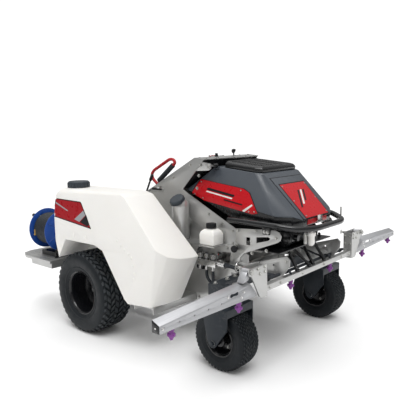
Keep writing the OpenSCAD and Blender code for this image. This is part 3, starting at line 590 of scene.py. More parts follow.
def draped(name, points, into, target, material, body, lift, thick):
    """A thin plate pressed on to another piece: its outline is dropped along a direction on to the target."""
    into = Vector(into).normalized()
    bm = bmesh.new()
    bm.faces.new([bm.verts.new(p - into * 0.5) for p in points])
    bmesh.ops.triangulate(bm, faces=bm.faces)
    for _ in range(5):
        long = [e for e in bm.edges if e.calc_length() > 0.02]
        if not long:
            break
        bmesh.ops.subdivide_edges(bm, edges=long, cuts=1)
        bmesh.ops.triangulate(bm, faces=bm.faces)
    tree = BVHTree.FromObject(target, bpy.context.evaluated_depsgraph_get())
    for v in bm.verts:
        hit = tree.ray_cast(v.co, into)[0] or tree.find_nearest(v.co + into * 0.5)[0]
        v.co = hit - into * (lift * MM)
    grown = bmesh.ops.extrude_face_region(bm, geom=bm.faces[:])
    moved = [g for g in grown["geom"] if isinstance(g, bmesh.types.BMVert)]
    bmesh.ops.translate(bm, vec=-into * (thick * MM), verts=moved)
    return piece(name, bm, material, body, 30)


# ---------------------------------------------------------------- wheels

# Sidewall from bead to crown: (radius mm, share of the half width). Tread rows: (lateral place, half width,
# skew in pitches, share of the pitch filled, phase), mirrored to both halves.
TYRES = {
    "tyre": dict(
        bead=129, lift=8.5, pitches=38,
        wall=[(129, 0.74), (129, 0.80), (133, 0.815), (139, 0.83), (143, 0.86), (150, 0.90), (158, 0.925),
              (160, 0.945), (163, 0.945), (166, 0.935), (180, 0.975), (200, 0.995), (216, 0.99), (228, 0.96),
              (236, 0.915), (241, 0.85), (244.5, 0.72), (246, 0.5), (246.4, 0.25), (246.5, 0)],
        rows=[(17, 14.2, 0.26, 0.7, 0.0), (48, 14.2, -0.26, 0.7, 0.5), (77, 12.8, 0.26, 0.7, 0.0),
              (100, 8.5, -0.1, 0.6, 0.45)]),
    "caster_tyre": dict(
        bead=82, lift=5.2, pitches=46,
        wall=[(82, 0.72), (82, 0.80), (86, 0.815), (91, 0.84), (95, 0.88), (104, 0.94), (112, 0.955),
              (114, 0.975), (117, 0.97), (132, 0.998), (144, 0.985), (152, 0.94), (157, 0.85), (159.5, 0.66),
              (160.6, 0.35), (161, 0)],
        rows=[(7, 5.4, 0.3, 0.6, 0.0), (20, 5.4, -0.3, 0.6, 0.5), (33, 5.4, 0.3, 0.6, 0.0),
              (45.5, 4.8, -0.3, 0.6, 0.5), (57, 4.2, 0.2, 0.55, 0.0)]),
}
BLOCK_TAPER = 0.86
BLOCK_ROOT = 3
WALL_THICK = 6


def add_block(bm, point):
    """Adds a tread block from point(ring, a, b): a 3 by 3 grid at its root and one at its top."""
    low, high = [[bm.verts.new(point(ring, a, b)) for a in (-1, 0, 1) for b in (-1, 0, 1)] for ring in (0, 1)]
    for k in (0, 1, 3, 4):
        # the top faces take the second finish, lighter for dust and for a painted highlight
        bm.faces.new((high[k], high[k + 1], high[k + 4], high[k + 3])).material_index = 1
    rim = (0, 1, 2, 5, 8, 7, 6, 3)
    for p, q in zip(rim, rim[1:] + rim[:1]):
        bm.faces.new((low[p], low[q], high[q], high[p]))


def tyre_piece(side, kind):
    """A tyre with sidewall steps and moulded tread blocks."""
    node = f"{side}_{kind}"
    spec = TYRES[kind]
    lo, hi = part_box(node)
    centre = (lo + hi) / 2
    crown = (hi.z - lo.z) / 2 / MM
    half = (hi.y - lo.y) / 2 / MM
    bead, wall, pitch = spec["bead"], spec["wall"], math.tau / spec["pitches"]
    whole = [(r, w * half) for r, w in wall] + [(r, -w * half) for r, w in reversed(wall[:-1])]
    inner = [(r - WALL_THICK, w * 0.9) for r, w in reversed(whole)]
    inner[0] = (bead, inner[0][1])
    inner[-1] = (bead, inner[-1][1])
    bm = bmesh.new()
    shell_ring(bm, whole + inner, 120, centre, LEFT)
    carcass = sorted((w * half, r) for r, w in wall if r > bead + 30)

    def shoulder(t):
        """Carcass radius at a lateral place."""
        for (w0, r0), (w1, r1) in zip(carcass, carcass[1:]):
            if t <= w1:
                return r0 + (r1 - r0) * (t - w0) / max(1e-6, w1 - w0)
        return carcass[-1][1]

    for s in (-1, 1):
        for place, width, skew, share, phase in spec["rows"]:
            for mid in turns(spec["pitches"], pitch * phase):
                def point(ring, a, b):
                    shrink = BLOCK_TAPER if ring else 1.0
                    t = s * place + b * width * shrink
                    base = shoulder(abs(t))
                    r = min(crown, base + spec["lift"]) if ring else base - BLOCK_ROOT
                    angle = mid + a * pitch * share / 2 * shrink + s * skew * b * pitch
                    return centre + Vector((math.cos(angle) * r, t, math.sin(angle) * r)) * MM
                add_block(bm, point)
    # second finish: lighter tread tops, real dust plus a painted highlight
    piece(f"{node}_moulded", bm, ("tyre_rubber", "tread_dust_and_highlight"), BODY_OF[node], 32, node)


def drive_rim_piece(side):
    """Deep pressed rim with a stepped well, hub, wheel nuts and valve stem."""
    node = f"{side}_rim"
    body = BODY_OF[node]
    centre = middle(f"{side}_tyre")
    out = LEFT * (-1 if side == "right" else 1)
    bm = bmesh.new()
    profile = [(138, 96.4), (138, 91), (129, 90.4), (129, -90.4), (138, -91), (138, -96.4), (127, -96.4),
               (123, -88), (113, -70), (113, -34), (118, -24), (104, -25), (62, -25), (55, -17), (44, -13),
               (16, -13), (16, -6), (46, -6), (57, -11), (65, -18.5), (98, -18), (106, -12), (112, -12),
               (114, 4), (117, 22), (116, 44), (120, 66), (123, 80), (125, 90), (129, 95), (133, 97.6)]
    shell_ring(bm, profile, 96, centre, out)
    piece(f"{node}_pressed", bm, "rim_black", body, 40, node)
    turned(f"{node}_hub", [(0.1, 14), (15, 14), (20, 11), (20, 2), (34, 0), (38, -6)], centre, out,
           "black_paint", body, 48)
    turned(f"{node}_shaft", [(17, -6), (17, -140), (15, -150), (0.1, -150)], centre, out, "bare_steel", body,
           32)
    nuts = [(centre + Vector((math.cos(a), 0, math.sin(a))) * 0.040 - out * 0.006, out)
            for a in turns(5, 0.3)]
    bolts(f"{node}_wheel_nuts", nuts, 7, body, "rim_black", 11)
    stem = centre + Vector((0.108, 0, 0.03)) - out * 0.011
    tube(f"{node}_valve_stem", [stem, stem + out * 0.022 - FORE * 0.004], 3.2, "black_plastic", 2, 12, body)


def caster_rim_piece(side):
    """Small two-piece rim with a tubular hub and its bolts."""
    node = f"{side}_caster_rim"
    centre = middle(f"{side}_caster_tyre")
    half = [(90, 61.4), (90, 57), (82, 56.4), (82, 0)]
    inside = [(84, 62.6), (79, 58), (76, 40), (72, 22), (64, 10), (40, 8), (34, 14), (34, 60), (21, 62),
              (21, 98), (10.06, 100)]
    outer = half + [(r, -h) for r, h in reversed(half[:-1])]
    bm = bmesh.new()
    shell_ring(bm, outer + [(r, -h) for r, h in inside] + inside[::-1], 72, centre, LEFT)
    piece(f"{node}_pressed", bm, "rim_black", BODY_OF[node], 40, node)
    places = [(centre + Vector((math.cos(a) * 0.052, s * 0.009, math.sin(a) * 0.052)), (0, s, 0))
              for s in (-1, 1) for a in turns(4, 0.4)]
    bolts(f"{node}_rim_bolts", places, 5, BODY_OF[node])


def fork_piece(side):
    """The fork with rounded plate edges, axle bolt, stem nut and weld beads."""
    node = f"{side}_fork"
    body = BODY_OF[node]
    refine(node, 2.0)
    wheel = middle(f"{side}_caster_tyre")
    bolts(f"{node}_axle_bolt", [(wheel + LEFT * (s * 0.112), (0, s, 0)) for s in (-1, 1)], 9.5, body,
          "zinc_bolt", 9)
    stem_x = wheel.x + 68 * MM
    turned(f"{node}_stem_nut", [(0.1, 12), (12, 12), (21, 9), (22, 0), (26, 0), (26, -3), (15, -3)],
           Vector((stem_x, wheel.y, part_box(node)[1].z - 0.009)), UP, "zinc_bolt", body, 32)
    weld = bmesh.new()
    for s in (-1, 1):
        back, front = [Vector((wheel.x + x, wheel.y + s * 103.4 * MM, 0.3435)) for x in (-0.036, 0.09)]
        sweep(weld, [back.lerp(front, k / 24) for k in range(25)], lambda t: 3.2 + 0.6 * math.sin(t * 150), 8)
    ring = circle(Vector((stem_x, wheel.y, 0.3535)), 31, FORE, LEFT, 40)
    sweep(weld, ring, lambda t: 3.0 + 0.6 * math.sin(t * 160), 8)
    piece(f"{node}_welds", weld, "slate_paint", body, 60)


# ---------------------------------------------------------------- saddle tanks

TANK_SIDE = [(-234, 446), (-282, 620), (-290, 704), (-266, 850), (-236, 893), (340, 893), (392, 872),
             (746, 547), (605, 270), (430, 270), (225, 552), (150, 575), (-150, 575)]
TANK_IN, TANK_OUT, TANK_TOP = 421, 689, 893
LEAN = 0.16
CREASE_REAR = (-290, 704)
CREASE_SLOPE = -0.143
FRONT_CORNERS = [(590, 690), (660, 674), (705, 635), (735, 560), (750, 470)]
FRONT_LEANS = [9, 15, 21, 25]
FENDER = [(-234, 436), (-238, 480), (-190, 560), (-150, 581), (150, 581), (240, 560), (330, 436)]
TANK_BADGE = {  # outline (ahead, z), finish, lift in mm
    "border": ([(-275, 711), (-269, 829), (-3, 823), (10, 812), (124, 669)], "black_decal", -0.3),
    "panel": ([(-269, 716), (-263, 823), (-6, 817), (6, 807), (112, 677)], "dark_red_decal", 0.3),
    "stripe": ([(10, 700), (66, 748), (104, 694), (86, 681)], "black_decal", 0.9),
    "line": ([(-48, 713), (34, 772), (58, 746), (4, 701)], "grey_decal", 0.9),
    "hairline": ([(-262, 806), (-120, 760), (-124, 755), (-264, 797)], "grey_decal", 0.9),
}


def tank_face_y(x, z):
    """Distance of the tank's outer face from the centre plane, in mm."""
    crease = CREASE_REAR[1] + CREASE_SLOPE * (x - CREASE_REAR[0])
    return TANK_OUT if z < crease else TANK_OUT - LEAN * (z - crease)


def tank_piece(side):
    """Rotomoulded saddle tank with leaning upper faces, rounded corners, moulded bosses and a filler ring."""
    s = -1 if side == "right" else 1
    node = f"{side}_tank"
    bm = bmesh.new()
    prism(bm, TANK_SIDE, lambda x, z, w: at(x, s * (TANK_IN + w), z), TANK_OUT - TANK_IN)
    bmesh.ops.recalc_face_normals(bm, faces=bm.faces)
    lean = Vector((-CREASE_SLOPE * LEAN, s, LEAN)).normalized()
    cut_away(bm, (CREASE_REAR[0], s * TANK_OUT, CREASE_REAR[1]), lean)
    cut_away(bm, (0, s * 632, TANK_TOP), (0, s * 0.62, 0.78))
    cut_away(bm, (-292, s * 655, 0), (-0.76, s * 0.65, 0))
    cut_away(bm, (0, s * 436, TANK_TOP), (0, -s * 0.74, 0.67))
    for a, b, lean_in in zip(FRONT_CORNERS, FRONT_CORNERS[1:], FRONT_LEANS):
        turn = math.atan2(b[1] - a[1], b[0] - a[0])
        flat, drop = math.cos(math.radians(lean_in)), math.sin(math.radians(lean_in))
        cut_away(bm, (a[0], s * a[1], 552), (-math.sin(turn) * flat, s * math.cos(turn) * flat, -drop))
    obj = add_object(f"{node}_shell", bm, "white_poly", BODY_OF[node])
    bevel(obj, 12, 4, 5, "MITER_ARC")
    sharp_smooth(obj, 50)
    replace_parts(obj, node)
    lid = middle(f"{side}_lid")
    turned(f"{node}_neck", [(55, -0.5), (67, -0.5), (66, 2), (64.5, 11), (62, 12), (56, 12), (55, 10)],
           Vector((lid.x, lid.y, TANK_TOP * MM)), UP, "white_poly")
    bumps = bmesh.new()
    for x, z in ((365, 628), (398, 605), (430, 585), (462, 565), (486, 548), (498, 505), (505, 462),
                 (498, 430)):
        revolved(bumps, [(9, 0), (8.4, 2.2), (6.5, 3.4), (0.2, 3.8)], 20,
                 (x, s * (tank_face_y(x, z) - 0.5), z), (0, s, 0))
    for x in (-60, 60):
        revolved(bumps, [(16, 0), (15, 3), (8, 3.2), (0.2, 3.2)], 24, (x, s * 688.5, 610), (0, s, 0))
    extruded(f"{node}_fender_skirt", FENDER, lambda u, v, w: at(u, s * (454 + w), v), 14, "white_poly",
             round_mm=2.5)
    piece(f"{node}_moulded_bosses", bumps, "white_poly", angle=60)
    for part, (outline, finish, lift) in TANK_BADGE.items():
        points = [at(x, s * 690, z) for x, z in outline]
        draped(f"{side}_tank_badge_{part}", points, (0, -s, 0), obj, finish, "chassis", lift, 0.7)


def lid_piece(side):
    """Ribbed screw lid with a raised ring."""
    node = f"{side}_lid"
    refine(node, material="cap_plastic")
    top = middle(node)
    top.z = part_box(node)[1].z - 0.0015
    turned(f"{node}_raised_ring", [(50, -1), (50, 1.2), (47, 2.2), (40, 2.2), (38, 0.8), (37, -1)], top, UP,
           "cap_plastic", BODY_OF[node])


# ---------------------------------------------------------------- hood

HOOD_TOP = [(690, 190, 1032), (975, 205, 1003), (1019, 182, 999)]
HOOD_WAIST = [(503, 250, 888), (1135, 262, 786), (1218, 208, 782), (1250, 152, 761)]
HOOD_FOOT = [(925, 260, 721), (1135, 259, 721), (1215, 205, 721), (1243, 150, 721)]
HOOD_INSIDE = [(706, 176, 1014), (970, 191, 986), (1006, 172, 982), (534, 239, 886), (1128, 246, 775),
               (1205, 196, 771), (1234, 143, 752), (560, 240, 790), (900, 246, 680), (1128, 246, 680),
               (1203, 192, 680), (1230, 140, 680)]
HINGE = (700, 213, 1036)
SIDE_BADGE = [(548, 866), (600, 955), (920, 915), (962, 895), (1034, 790), (1000, 783), (566, 846)]
SIDE_BADGE_PARTS = {  # outline (ahead, z), finish, lift in mm
    "panel": (SIDE_BADGE, "red_decal", 0.6),
    "bar": ([(668, 910), (868, 878), (861, 866), (661, 898)], "black_decal", 1.4),
    "thin_bar": ([(664, 892), (856, 861), (852, 854), (660, 885)], "white_decal", 1.4),
    "short_bar": ([(800, 852), (930, 832), (926, 825), (796, 845)], "black_decal", 1.4),
    "stripe": ([(930, 796), (990, 836), (997, 828), (946, 791)], "white_decal", 1.4),
}
SIDE_BADGE_SCREWS = ((608, 940), (905, 905), (1012, 798), (575, 868), (640, 848), (975, 796))
FRONT_EDGE = (1019, 182, 999)
FRONT_FOOT = (1250, 152, 761)
FRONT_SLOPE = 1.0303


def both_sides(points):
    return [at(x, s * y, z) for s in (1, -1) for x, y, z in points]


def waist_height(x):
    """Height of the hood's widest line at a place along the machine, in metres."""
    line = [(at(d, 0, z).x, z * MM) for d, _, z in HOOD_WAIST]
    for (x0, z0), (x1, z1) in zip(line, line[1:]):
        if x <= x1 or x1 == line[-1][0]:
            return z0 + (z1 - z0) * (x - x0) / (x1 - x0)


def hood_piece():
    """Faceted plastic engine hood, hollow below, with a gloss black foot band."""
    bm = bmesh.new()
    hull_mesh(bm, both_sides(HOOD_TOP + HOOD_WAIST + HOOD_FOOT))
    obj = add_object("hood_shell", bm, "hood_plastic", "engine_hood")
    bevel(obj, 5, 3, 8)
    inner = bmesh.new()
    hull_mesh(inner, both_sides(HOOD_INSIDE))
    cut(obj, inner)
    for s, name in SIDES:
        notch = bmesh.new()
        add_box(notch, at(678, s * 214 - 32, 1009), at(722, s * 214 + 32, 1059))
        cut(obj, notch)
        turned(f"hood_{name}_hinge_barrel", [(6.1, -17), (13, -17), (13, 17), (6.1, 17)],
               (HINGE[0], s * HINGE[1], HINGE[2]), LEFT, "black_paint", "engine_hood", 32)
    sharp_smooth(obj, 40)
    obj.data.materials.append(MAT["gloss_black"])
    for face in obj.data.polygons:
        if face.normal.z < 0.12 and face.center.z < waist_height(face.center.x) + 3 * MM:
            face.material_index = 1
    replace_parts(obj, "hood")
    hood_side_badges(obj)
    hood_front()


def grow(points, amount):
    """Moves outline points away from their middle by some millimetres."""
    pts = [Vector(p) for p in points]
    mid = sum(pts, Vector((0, 0))) / len(pts)
    return [tuple(p + (p - mid).normalized() * amount) for p in pts]


def hood_side_badges(shell):
    """Side badges: border, red panel, plain bars and screws."""
    parts = {"border": (grow(SIDE_BADGE, 6), "black_decal", -0.2), **SIDE_BADGE_PARTS}
    tree = BVHTree.FromObject(shell, bpy.context.evaluated_depsgraph_get())
    for s, name in SIDES:
        for part, (outline, finish, lift) in parts.items():
            points = [at(x, s * 262, z) for x, z in outline]
            draped(f"hood_{name}_badge_{part}", points, (0, -s, 0), shell, finish, "engine_hood", lift, 0.8)
        places = []
        for x, z in SIDE_BADGE_SCREWS:
            hit, normal = tree.ray_cast(at(x, s * 400, z), Vector((0, -s, 0)))[:2]
            places.append((hit + Vector((0, s * 1.4 * MM, 0)), normal))
        bolts(f"hood_{name}_badge_screws", places, 3.0, "engine_hood", height=1.8)


def hood_front():
    """Front seam, raised panel, badge with slanted stripes, screws and a red lip."""
    (d0, y0, z0), (d1, y1, z1) = FRONT_EDGE, FRONT_FOOT
    a, b, c = at(d0, -y0, z0), at(d1, -y1, z1), at(d0, y0, z0)
    out = (b - a).cross(c - a).normalized()
    out = out if out.x > 0 else -out

    def drop(q, height):
        """A point moved on to the front face and lifted off it."""
        return q - out * (q - a).dot(out) + out * (height * MM)

    def on_front(part, outline, finish, lift, thick, round_mm=0.0):
        extruded(f"hood_front_{part}", outline,
                 lambda d, y, w: drop(at(d, y, z0 - FRONT_SLOPE * (d - d0)), lift + w), thick, finish,
                 "engine_hood", round_mm, 3)

    def wedge(x0, half0, x1, half1):
        return [(x0, -half0), (x1, -half1), (x1, half1), (x0, half0)]

    on_front("seam", wedge(1044, 164, 1251, 150), "black_decal", -2, 2.6)
    on_front("panel", wedge(1048, 160, 1248, 146), "hood_plastic", -2, 6.5, 2.5)
    on_front("badge_border", wedge(1079, 133, 1250, 126), "black_decal", 4.4, 0.8)
    on_front("badge_panel", wedge(1084, 128, 1247, 121), "red_decal", 5.1, 0.9)
    top, width = 1120, 17
    for k, tone in enumerate(("black_decal", "white_decal", "black_decal")):
        y, low = 42 * k - 92, 1200 - 14 * k
        slant = y + 1.1 * (low - top)
        on_front(f"badge_stripe_{k + 1}", [(top, slant), (top, slant + width), (low, y + width), (low, y)],
                 tone, 5.9, 0.5)
    places = [(drop(at(x, s * y, z), 6.0), out)
              for x, y, z in ((1094, 118, 922), (1238, 111, 773), (1166, 115, 848)) for s in (-1, 1)]
    bolts("hood_front_badge_screws", places, 3.0, "engine_hood", height=1.8)
    lip = [(1246, 752), (1252, 758), (1252, 730), (1247, 728)]
    extruded("hood_front_lip", lip, lambda u, v, w: at(u - 2, -104 + w, v), 208, "red_paint", "engine_hood")


def grille_piece():
    """Raised air intake: a chamfered frame round a recessed wire screen."""
    start = at(726, 0, 1030.3)
    slope = math.radians(5.94)
    fore = Vector((math.cos(slope), 0, -math.sin(slope)))
    up = Vector((math.sin(slope), 0, math.cos(slope)))
    outline = [(0, -150), (30, -186), (245, -196), (282, -172), (282, 172), (245, 196), (30, 186), (0, 150)]
    mid = Vector((141, 0))

    def point(u, v, w):
        return start + fore * (u * MM) + LEFT * (v * MM) + up * (w * MM)

    bm = bmesh.new()
    loops = []
    for inset, height in ((0, 0), (0, 20), (16, 33.5), (34, 33.5), (42, 24)):
        rays = [Vector(p) - mid for p in outline]
        inner = [mid + d * (1 - inset / d.length) for d in rays]
        loops.append([bm.verts.new(point(p.x, p.y, height)) for p in inner])
    skin(bm, loops)
    obj = add_object("intake_grille_frame", bm, "gloss_black", "engine_hood")
    bevel(obj, 4, 4, 20)
    sharp_smooth(obj, 40)
    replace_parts(obj, "intake_grille")
    wires = bmesh.new()
    for k in range(24):
        u = 44 + k * 8.6
        half = 138 if u < 45 else 146
        sweep(wires, [point(u, -half, 26.4), point(u, half, 26.4)], 1.1, 6)
    for k in range(33):
        v = -142 + k * 8.9
        sweep(wires, [point(42, v, 27.6), point(244, v, 27.6)], 1.1, 6)
    for v in (-90, 0, 90):
        sweep(wires, [point(40, v, 29), point(246, v, 29)], 3.0, 8)
    piece("intake_screen", wires, "black_paint", "engine_hood", 60)


def bumper_piece():
    """One bent tube with closed ends and bolted stays."""
    half = [(868, 304, 748), (1165, 304, 742), (1262, 246, 724), (1324, 150, 724)]
    points = [(x, -y, z) for x, y, z in half] + half[::-1]
    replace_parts(tube("bumper_tube", points, 16, "black_paint", 60, 28), "bumper")
    stay = [(1088, 688), (1132, 688), (1136, 736), (1124, 748), (1096, 748), (1084, 736)]
    for s, name in SIDES:
        extruded(f"bumper_{name}_stay", stay, lambda u, v, w: at(u, s * (287 + w), v), 6, "black_paint",
                 round_mm=1.2)
    bolts("bumper_stay_bolts", side_pair(293, [(1100, 702), (1120, 702)]), 7)


# ---------------------------------------------------------------- boom

WING_TIP = 1192
WING_BACK, WING_FACE = 1190, 1230
WING_END = WING_TIP - 3
WING_HINGE = (604, 575)
NOZZLE_AHEAD = 1215
CLIP_SIZES = (8.2, 11, 6, 5)


def ring_clip(bm, centre, axis, bore, outer, half, edge):
    """Adds a rounded clip round a hose."""
    revolved(bm, [(bore, -half), (outer, -edge), (outer, edge), (bore, half), (bore, -half)], 24, centre,
             axis)


def wing_piece(side):
    """Folded aluminium channel with a chamfered top, punched holes, an end cap and its hinge lug."""
    s = -1 if side == "right" else 1
    node = f"{side}_wing"
    body = BODY_OF[node]
    outline = [(WING_END, 460), (WING_END, 510), (650, 531), (622, 549), (616, 540), (546, 452), (574, 447),
               (610, 450)]
    inner = [(WING_TIP + 6, 463), (WING_TIP + 6, 507), (658, 527.5), (640, 527), (590, 456), (612, 453.5)]
    edge = Vector((0, s * (WING_TIP - 650), -21)).normalized()
    chamfer = edge.cross(Vector((-40, 0, 18)))
    chamfer = chamfer if chamfer.z > 0 else -chamfer

    def bar(points, x0, x1, drop=None):
        """A form across the wing's section, with its top edge chamfered if a drop is given."""
        bm = bmesh.new()
        prism(bm, points, lambda y, z, w: at(x0 + w, s * y, z), x1 - x0)
        bmesh.ops.recalc_face_normals(bm, faces=bm.faces)
        if drop is not None:
            cut_away(bm, (WING_FACE, s * 650, 531 - 18 - drop), chamfer)
        return bm

    obj = add_object(f"{node}_channel", bar(outline, WING_BACK, WING_FACE, 0), "wing_metal", body)
    cut(obj, bar(inner, 1180, 1227, 3.5))
    holes = bmesh.new()
    for k in range(5):
        revolved(holes, [(4, 0), (4, 60)], 20, (1200, s * (812 + k * 88.5), 479), FORE, True)
    cut(obj, holes)
    arc = [math.radians(90 + 18 * k) for k in range(11)]
    slot = [(700 + 9 * math.cos(a), 497 + 9 * math.sin(a)) for a in arc] + [(716, 490.5), (728, 490.5)]
    slot += [(744 - 9 * math.cos(a), 497 - 9 * math.sin(a)) for a in arc] + [(728, 503.5), (716, 503.5)]
    cut(obj, bar(slot, 1200, 1250))
    bevel(obj, 1.2, 2, 40)
    sharp_smooth(obj, 30)
    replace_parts(obj, node)
    cap = [(1190.5, 460.5), (1190.5, 509.5), (1192, 509.5), (1229.5, 492), (1229.5, 460.5)]
    extruded(f"{node}_end_cap", cap, lambda u, v, w: at(u, s * (WING_END + w), v), 3, "gloss_black", body,
             0.8)
    bolts(f"{node}_cap_screw", [((1210, s * WING_TIP, 480), (0, s, 0))], 2.6, body, "white_decal", 1.2)
    lug = [(596, 560), (612, 538), (652, 531), (620, 578)]
    extruded(f"{node}_lug", lug, lambda u, v, w: at(1188 + w, s * u, v), 39, "wing_metal", body, 1.5)
    turned(f"{node}_hinge_barrel", [(8.2, 0), (15.5, 0), (17, 1.5), (17, 37.5), (15.5, 39), (8.2, 39),
                                    (8.2, 0)],
           (1188, s * WING_HINGE[0], WING_HINGE[1]), FORE, "wing_metal", body, 40)
    places = [((WING_FACE, s * y, z), FORE) for y, z in ((668, 470), (770, 497), (1172, 476), (650, 492))]
    bolts(f"{node}_rivets", places, 4.2, body, "bright_metal", 2.2)
    tube(f"{node}_feed_pipe", [(1184, s * 640, 489), (1184, s * 1150, 487)], 8, bend=10, body=body)
    clips = bmesh.new()
    for y in (700, 900, 1080):
        ring_clip(clips, (1184, s * y, 489 - (y - 640) * 0.004), (0, s, 0), *CLIP_SIZES)
    piece(f"{node}_pipe_clips", clips, "black_plastic", body)


def nozzle_form(bm, y, top):
    """Adds a spray nozzle: round body, ribbed cap with two ears and a fan tip."""
    c = at(NOZZLE_AHEAD, y, top)
    for profile, steps in (([(11, 0), (12.8, 2), (12.8, 15), (10.5, 17), (10.5, 24), (12.5, 26)], 32),
                           ([(15, 26), (16.8, 28), (16.8, 36), (15, 38.5), (12, 39)], 32),
                           ([(11.5, 39), (10.5, 44), (7.5, 49), (6, 53.5), (3.5, 54), (2, 52.5)], 24)):
        revolved(bm, profile, steps, c, -UP, True)
    for a in turns(12):
        q = c + Vector((math.cos(a) * 0.0163, math.sin(a) * 0.0163, -0.0325))
        sweep(bm, [q + UP * 0.004, q - UP * 0.004], 1.4, 6)
    for s in (-1, 1):
        q = c + Vector((s * 0.0155, 0, -0.032))
        sweep(bm, [q, q + FORE * (s * 0.0035)], 5.5, 12)


def nozzles_piece(node, places):
    bm = bmesh.new()
    for y, top in places:
        nozzle_form(bm, y, top)
    piece(f"{node}_moulded", bm, "purple_plastic", BODY_OF[node], 35, node)


def boom_pieces():
    """Centre boom, hinge brackets and stays, with feed hose, clips, bolts and latch springs."""
    refine("centre_boom", 1.5, material="silver_paint")
    refine("boom_brackets", 1.0)
    refine("boom_struts", 1.0)
    nozzles_piece("centre_nozzles", [(-220, 450), (220, 450)])
    for s, side in SIDES:
        nozzles_piece(f"{side}_nozzles", [(s * 673, 451.6), (s * 1112, 465.1)])
        wing_piece(side)
    bolts("bracket_bolts", [((1236, s * y, z), FORE) for s in (-1, 1)
                            for y, z in ((490, 556), (490, 580), (548, 580), (530, 552))], 6.5)
    bolts("bracket_foot_bolts", [((x, s * 470, z), (0, -s, 0)) for s in (-1, 1)
                                 for z in (520, 565) for x in (1190, 1222)], 6)
    bolts("boom_face_bolts", [((WING_FACE, y, 464), FORE) for y in (-440, -340, -120, 120, 340, 440)], 6)
    for s, side in SIDES:
        turned(f"{side}_wing_pin_head", [(0.1, 6), (11, 6), (13, 4), (13, 0), (6, 0)],
               (1242, s * WING_HINGE[0], WING_HINGE[1]), FORE, "zinc_bolt", steps=32)
        angles = [math.tau * k / 12 for k in range(121)]
        spring = [at(1158 - 0.2 * k, s * 560 + 7 * math.cos(a), 572 + 7 * math.sin(a))
                  for k, a in enumerate(angles)]
        coil(f"{side}_latch_spring", spring, 1.3, "zinc_bolt", 8)
        tube(f"{side}_latch_rod", [(1120, s * 560, 572), (1180, s * 560, 572)], 4.5, "zinc_bolt", 2, 14)
        coil(f"{side}_latch_ring", circle((1120, s * 560, 572), 12, LEFT, UP, 32), 2.0, "zinc_bolt", 8)
        tube(f"{side}_nozzle_drop", [(1188, s * 220, 488), (1204, s * 220, 494), (1215, s * 220, 486),
                                     (1215, s * 220, 476)], 6.5, bend=10, sides=14)
    tube("boom_feed_hose", [(1188, -440, 488), (1188, 440, 488)], 8.5, bend=10)
    clips = bmesh.new()
    for y in (-400, -220, 0, 220, 400):
        ring_clip(clips, (1188, y, 488), LEFT, 8.6, 12, 9, 8)
    piece("boom_hose_clips", clips, "black_plastic")


# ---------------------------------------------------------------- reel, platform and rear

REEL = (-540, 580)
COIL_STEPS = 48
COIL_ENDS = (-592.0, -418.0)
COIL_LAYERS = [(60.5, 11), (75, 11), (89.5, 11), (103, 10.5)]  # radius in mm, turns


def on_reel(x, radius, angle):
    return at(x, REEL[0] + radius * math.cos(angle), REEL[1] + radius * math.sin(angle))


def reel_pieces():
    """Blue drum with rolled rims, hose in a real winding, black pedestal and crank knob."""
    body = "hose_reel"
    refine("reel_drum")
    rims, ribs = bmesh.new(), bmesh.new()
    for x in (-603, -407):
        sweep(rims, circle((x, *REEL), 137, LEFT, UP, 96), 3.0, 10, False)
    for x, out in ((-606, -1), (-404, 1)):
        for a in turns(6, math.radians(30)):
            sweep(ribs, [on_reel(x + out * 0.2, r, a) for r in (60, 128)], 3.2, 10)
        sweep(ribs, circle((x, *REEL), 58, LEFT, UP, 64), 2.5, 8, False)
    piece("reel_rolled_rims", rims, "blue_paint", body, 60)
    piece("reel_pressed_ribs", ribs, "blue_paint", body, 60)
    bolts("reel_hub_bolts", [(on_reel(-606, 36, a), -FORE) for a in turns(6)], 5, body)
    wind = []
    ends = COIL_ENDS
    for radius, count in COIL_LAYERS:
        steps = int(count * COIL_STEPS)
        wind += [on_reel(ends[0] + (ends[1] - ends[0]) * k / steps, radius, math.tau * k / COIL_STEPS)
                 for k in range(steps + 1)]
        ends = ends[::-1]
    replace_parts(coil("wound_hose_coil", wind, 7.2, "hose_rubber", 10, body), "wound_hose")
    turned("hose_end_coupling", [(4, -2), (8.6, -2), (8.6, 14), (7, 16), (7, 30), (9, 31), (9, 38), (5, 40),
                                 (4, 40)],
           wind[-1], wind[-1] - wind[-2], "brass", body, 24, caps=True)
    refine("reel_stand", 1.5)
    refine("reel_knob", 2.5, 3)
    bolts("reel_foot_bolts", [((x, y, 432), UP) for x in (-572, -420) for y in (-585, -495)], 7)
    turned("reel_swivel", [(0.1, 22), (12, 22), (14, 19), (14, 8), (19, 6), (19, 0), (10, 0)], (-390, *REEL),
           FORE, "brass", steps=32)
    tube("reel_feed_hose", [(-372, -540, 580), (-352, -540, 575), (-338, -520, 520), (-345, -440, 470),
                            (-330, -350, 440), (-300, -285, 420)], 9, bend=40)
    refine("reel_shelf", 2.0, 3)
    slats = bmesh.new()
    for k in range(7):
        y = -672 + k * 38
        add_box(slats, at(-700 + abs(k - 3) * 6, y, 400), at(-352, y + 8, 401.6))
    piece("reel_shelf_ribs", slats, "silver_paint")


def platform_pieces():
    """Operator's platform with raised tread bars and a rubber edge."""
    refine("platform", 1.5)
    bm = bmesh.new()
    for i in range(9):
        for j in range(15):
            a = math.radians(45 if (i + j) % 2 else -45)
            u = Vector((math.cos(a), math.sin(a), 0)) * 0.011
            v = Vector((-math.sin(a), math.cos(a), 0)) * 0.003
            c = at(-430 + i * 36, -238 + j * 34, 229.8)
            skin(bm, [[bm.verts.new(c + p * share + UP * rise) for p in (-u, -v, u, v)]
                      for share, rise in ((1, 0), (0.7, 0.002))])
    piece("platform_tread", bm, "silver_paint", "foot_platform", 25)
    extruded("platform_rubber_edge", [(-450, 226), (-444, 231.5), (-438, 231.5), (-438, 226)],
             lambda u, v, w: at(u, -250 + w, v), 500, "black_plastic", "foot_platform", 0.8)


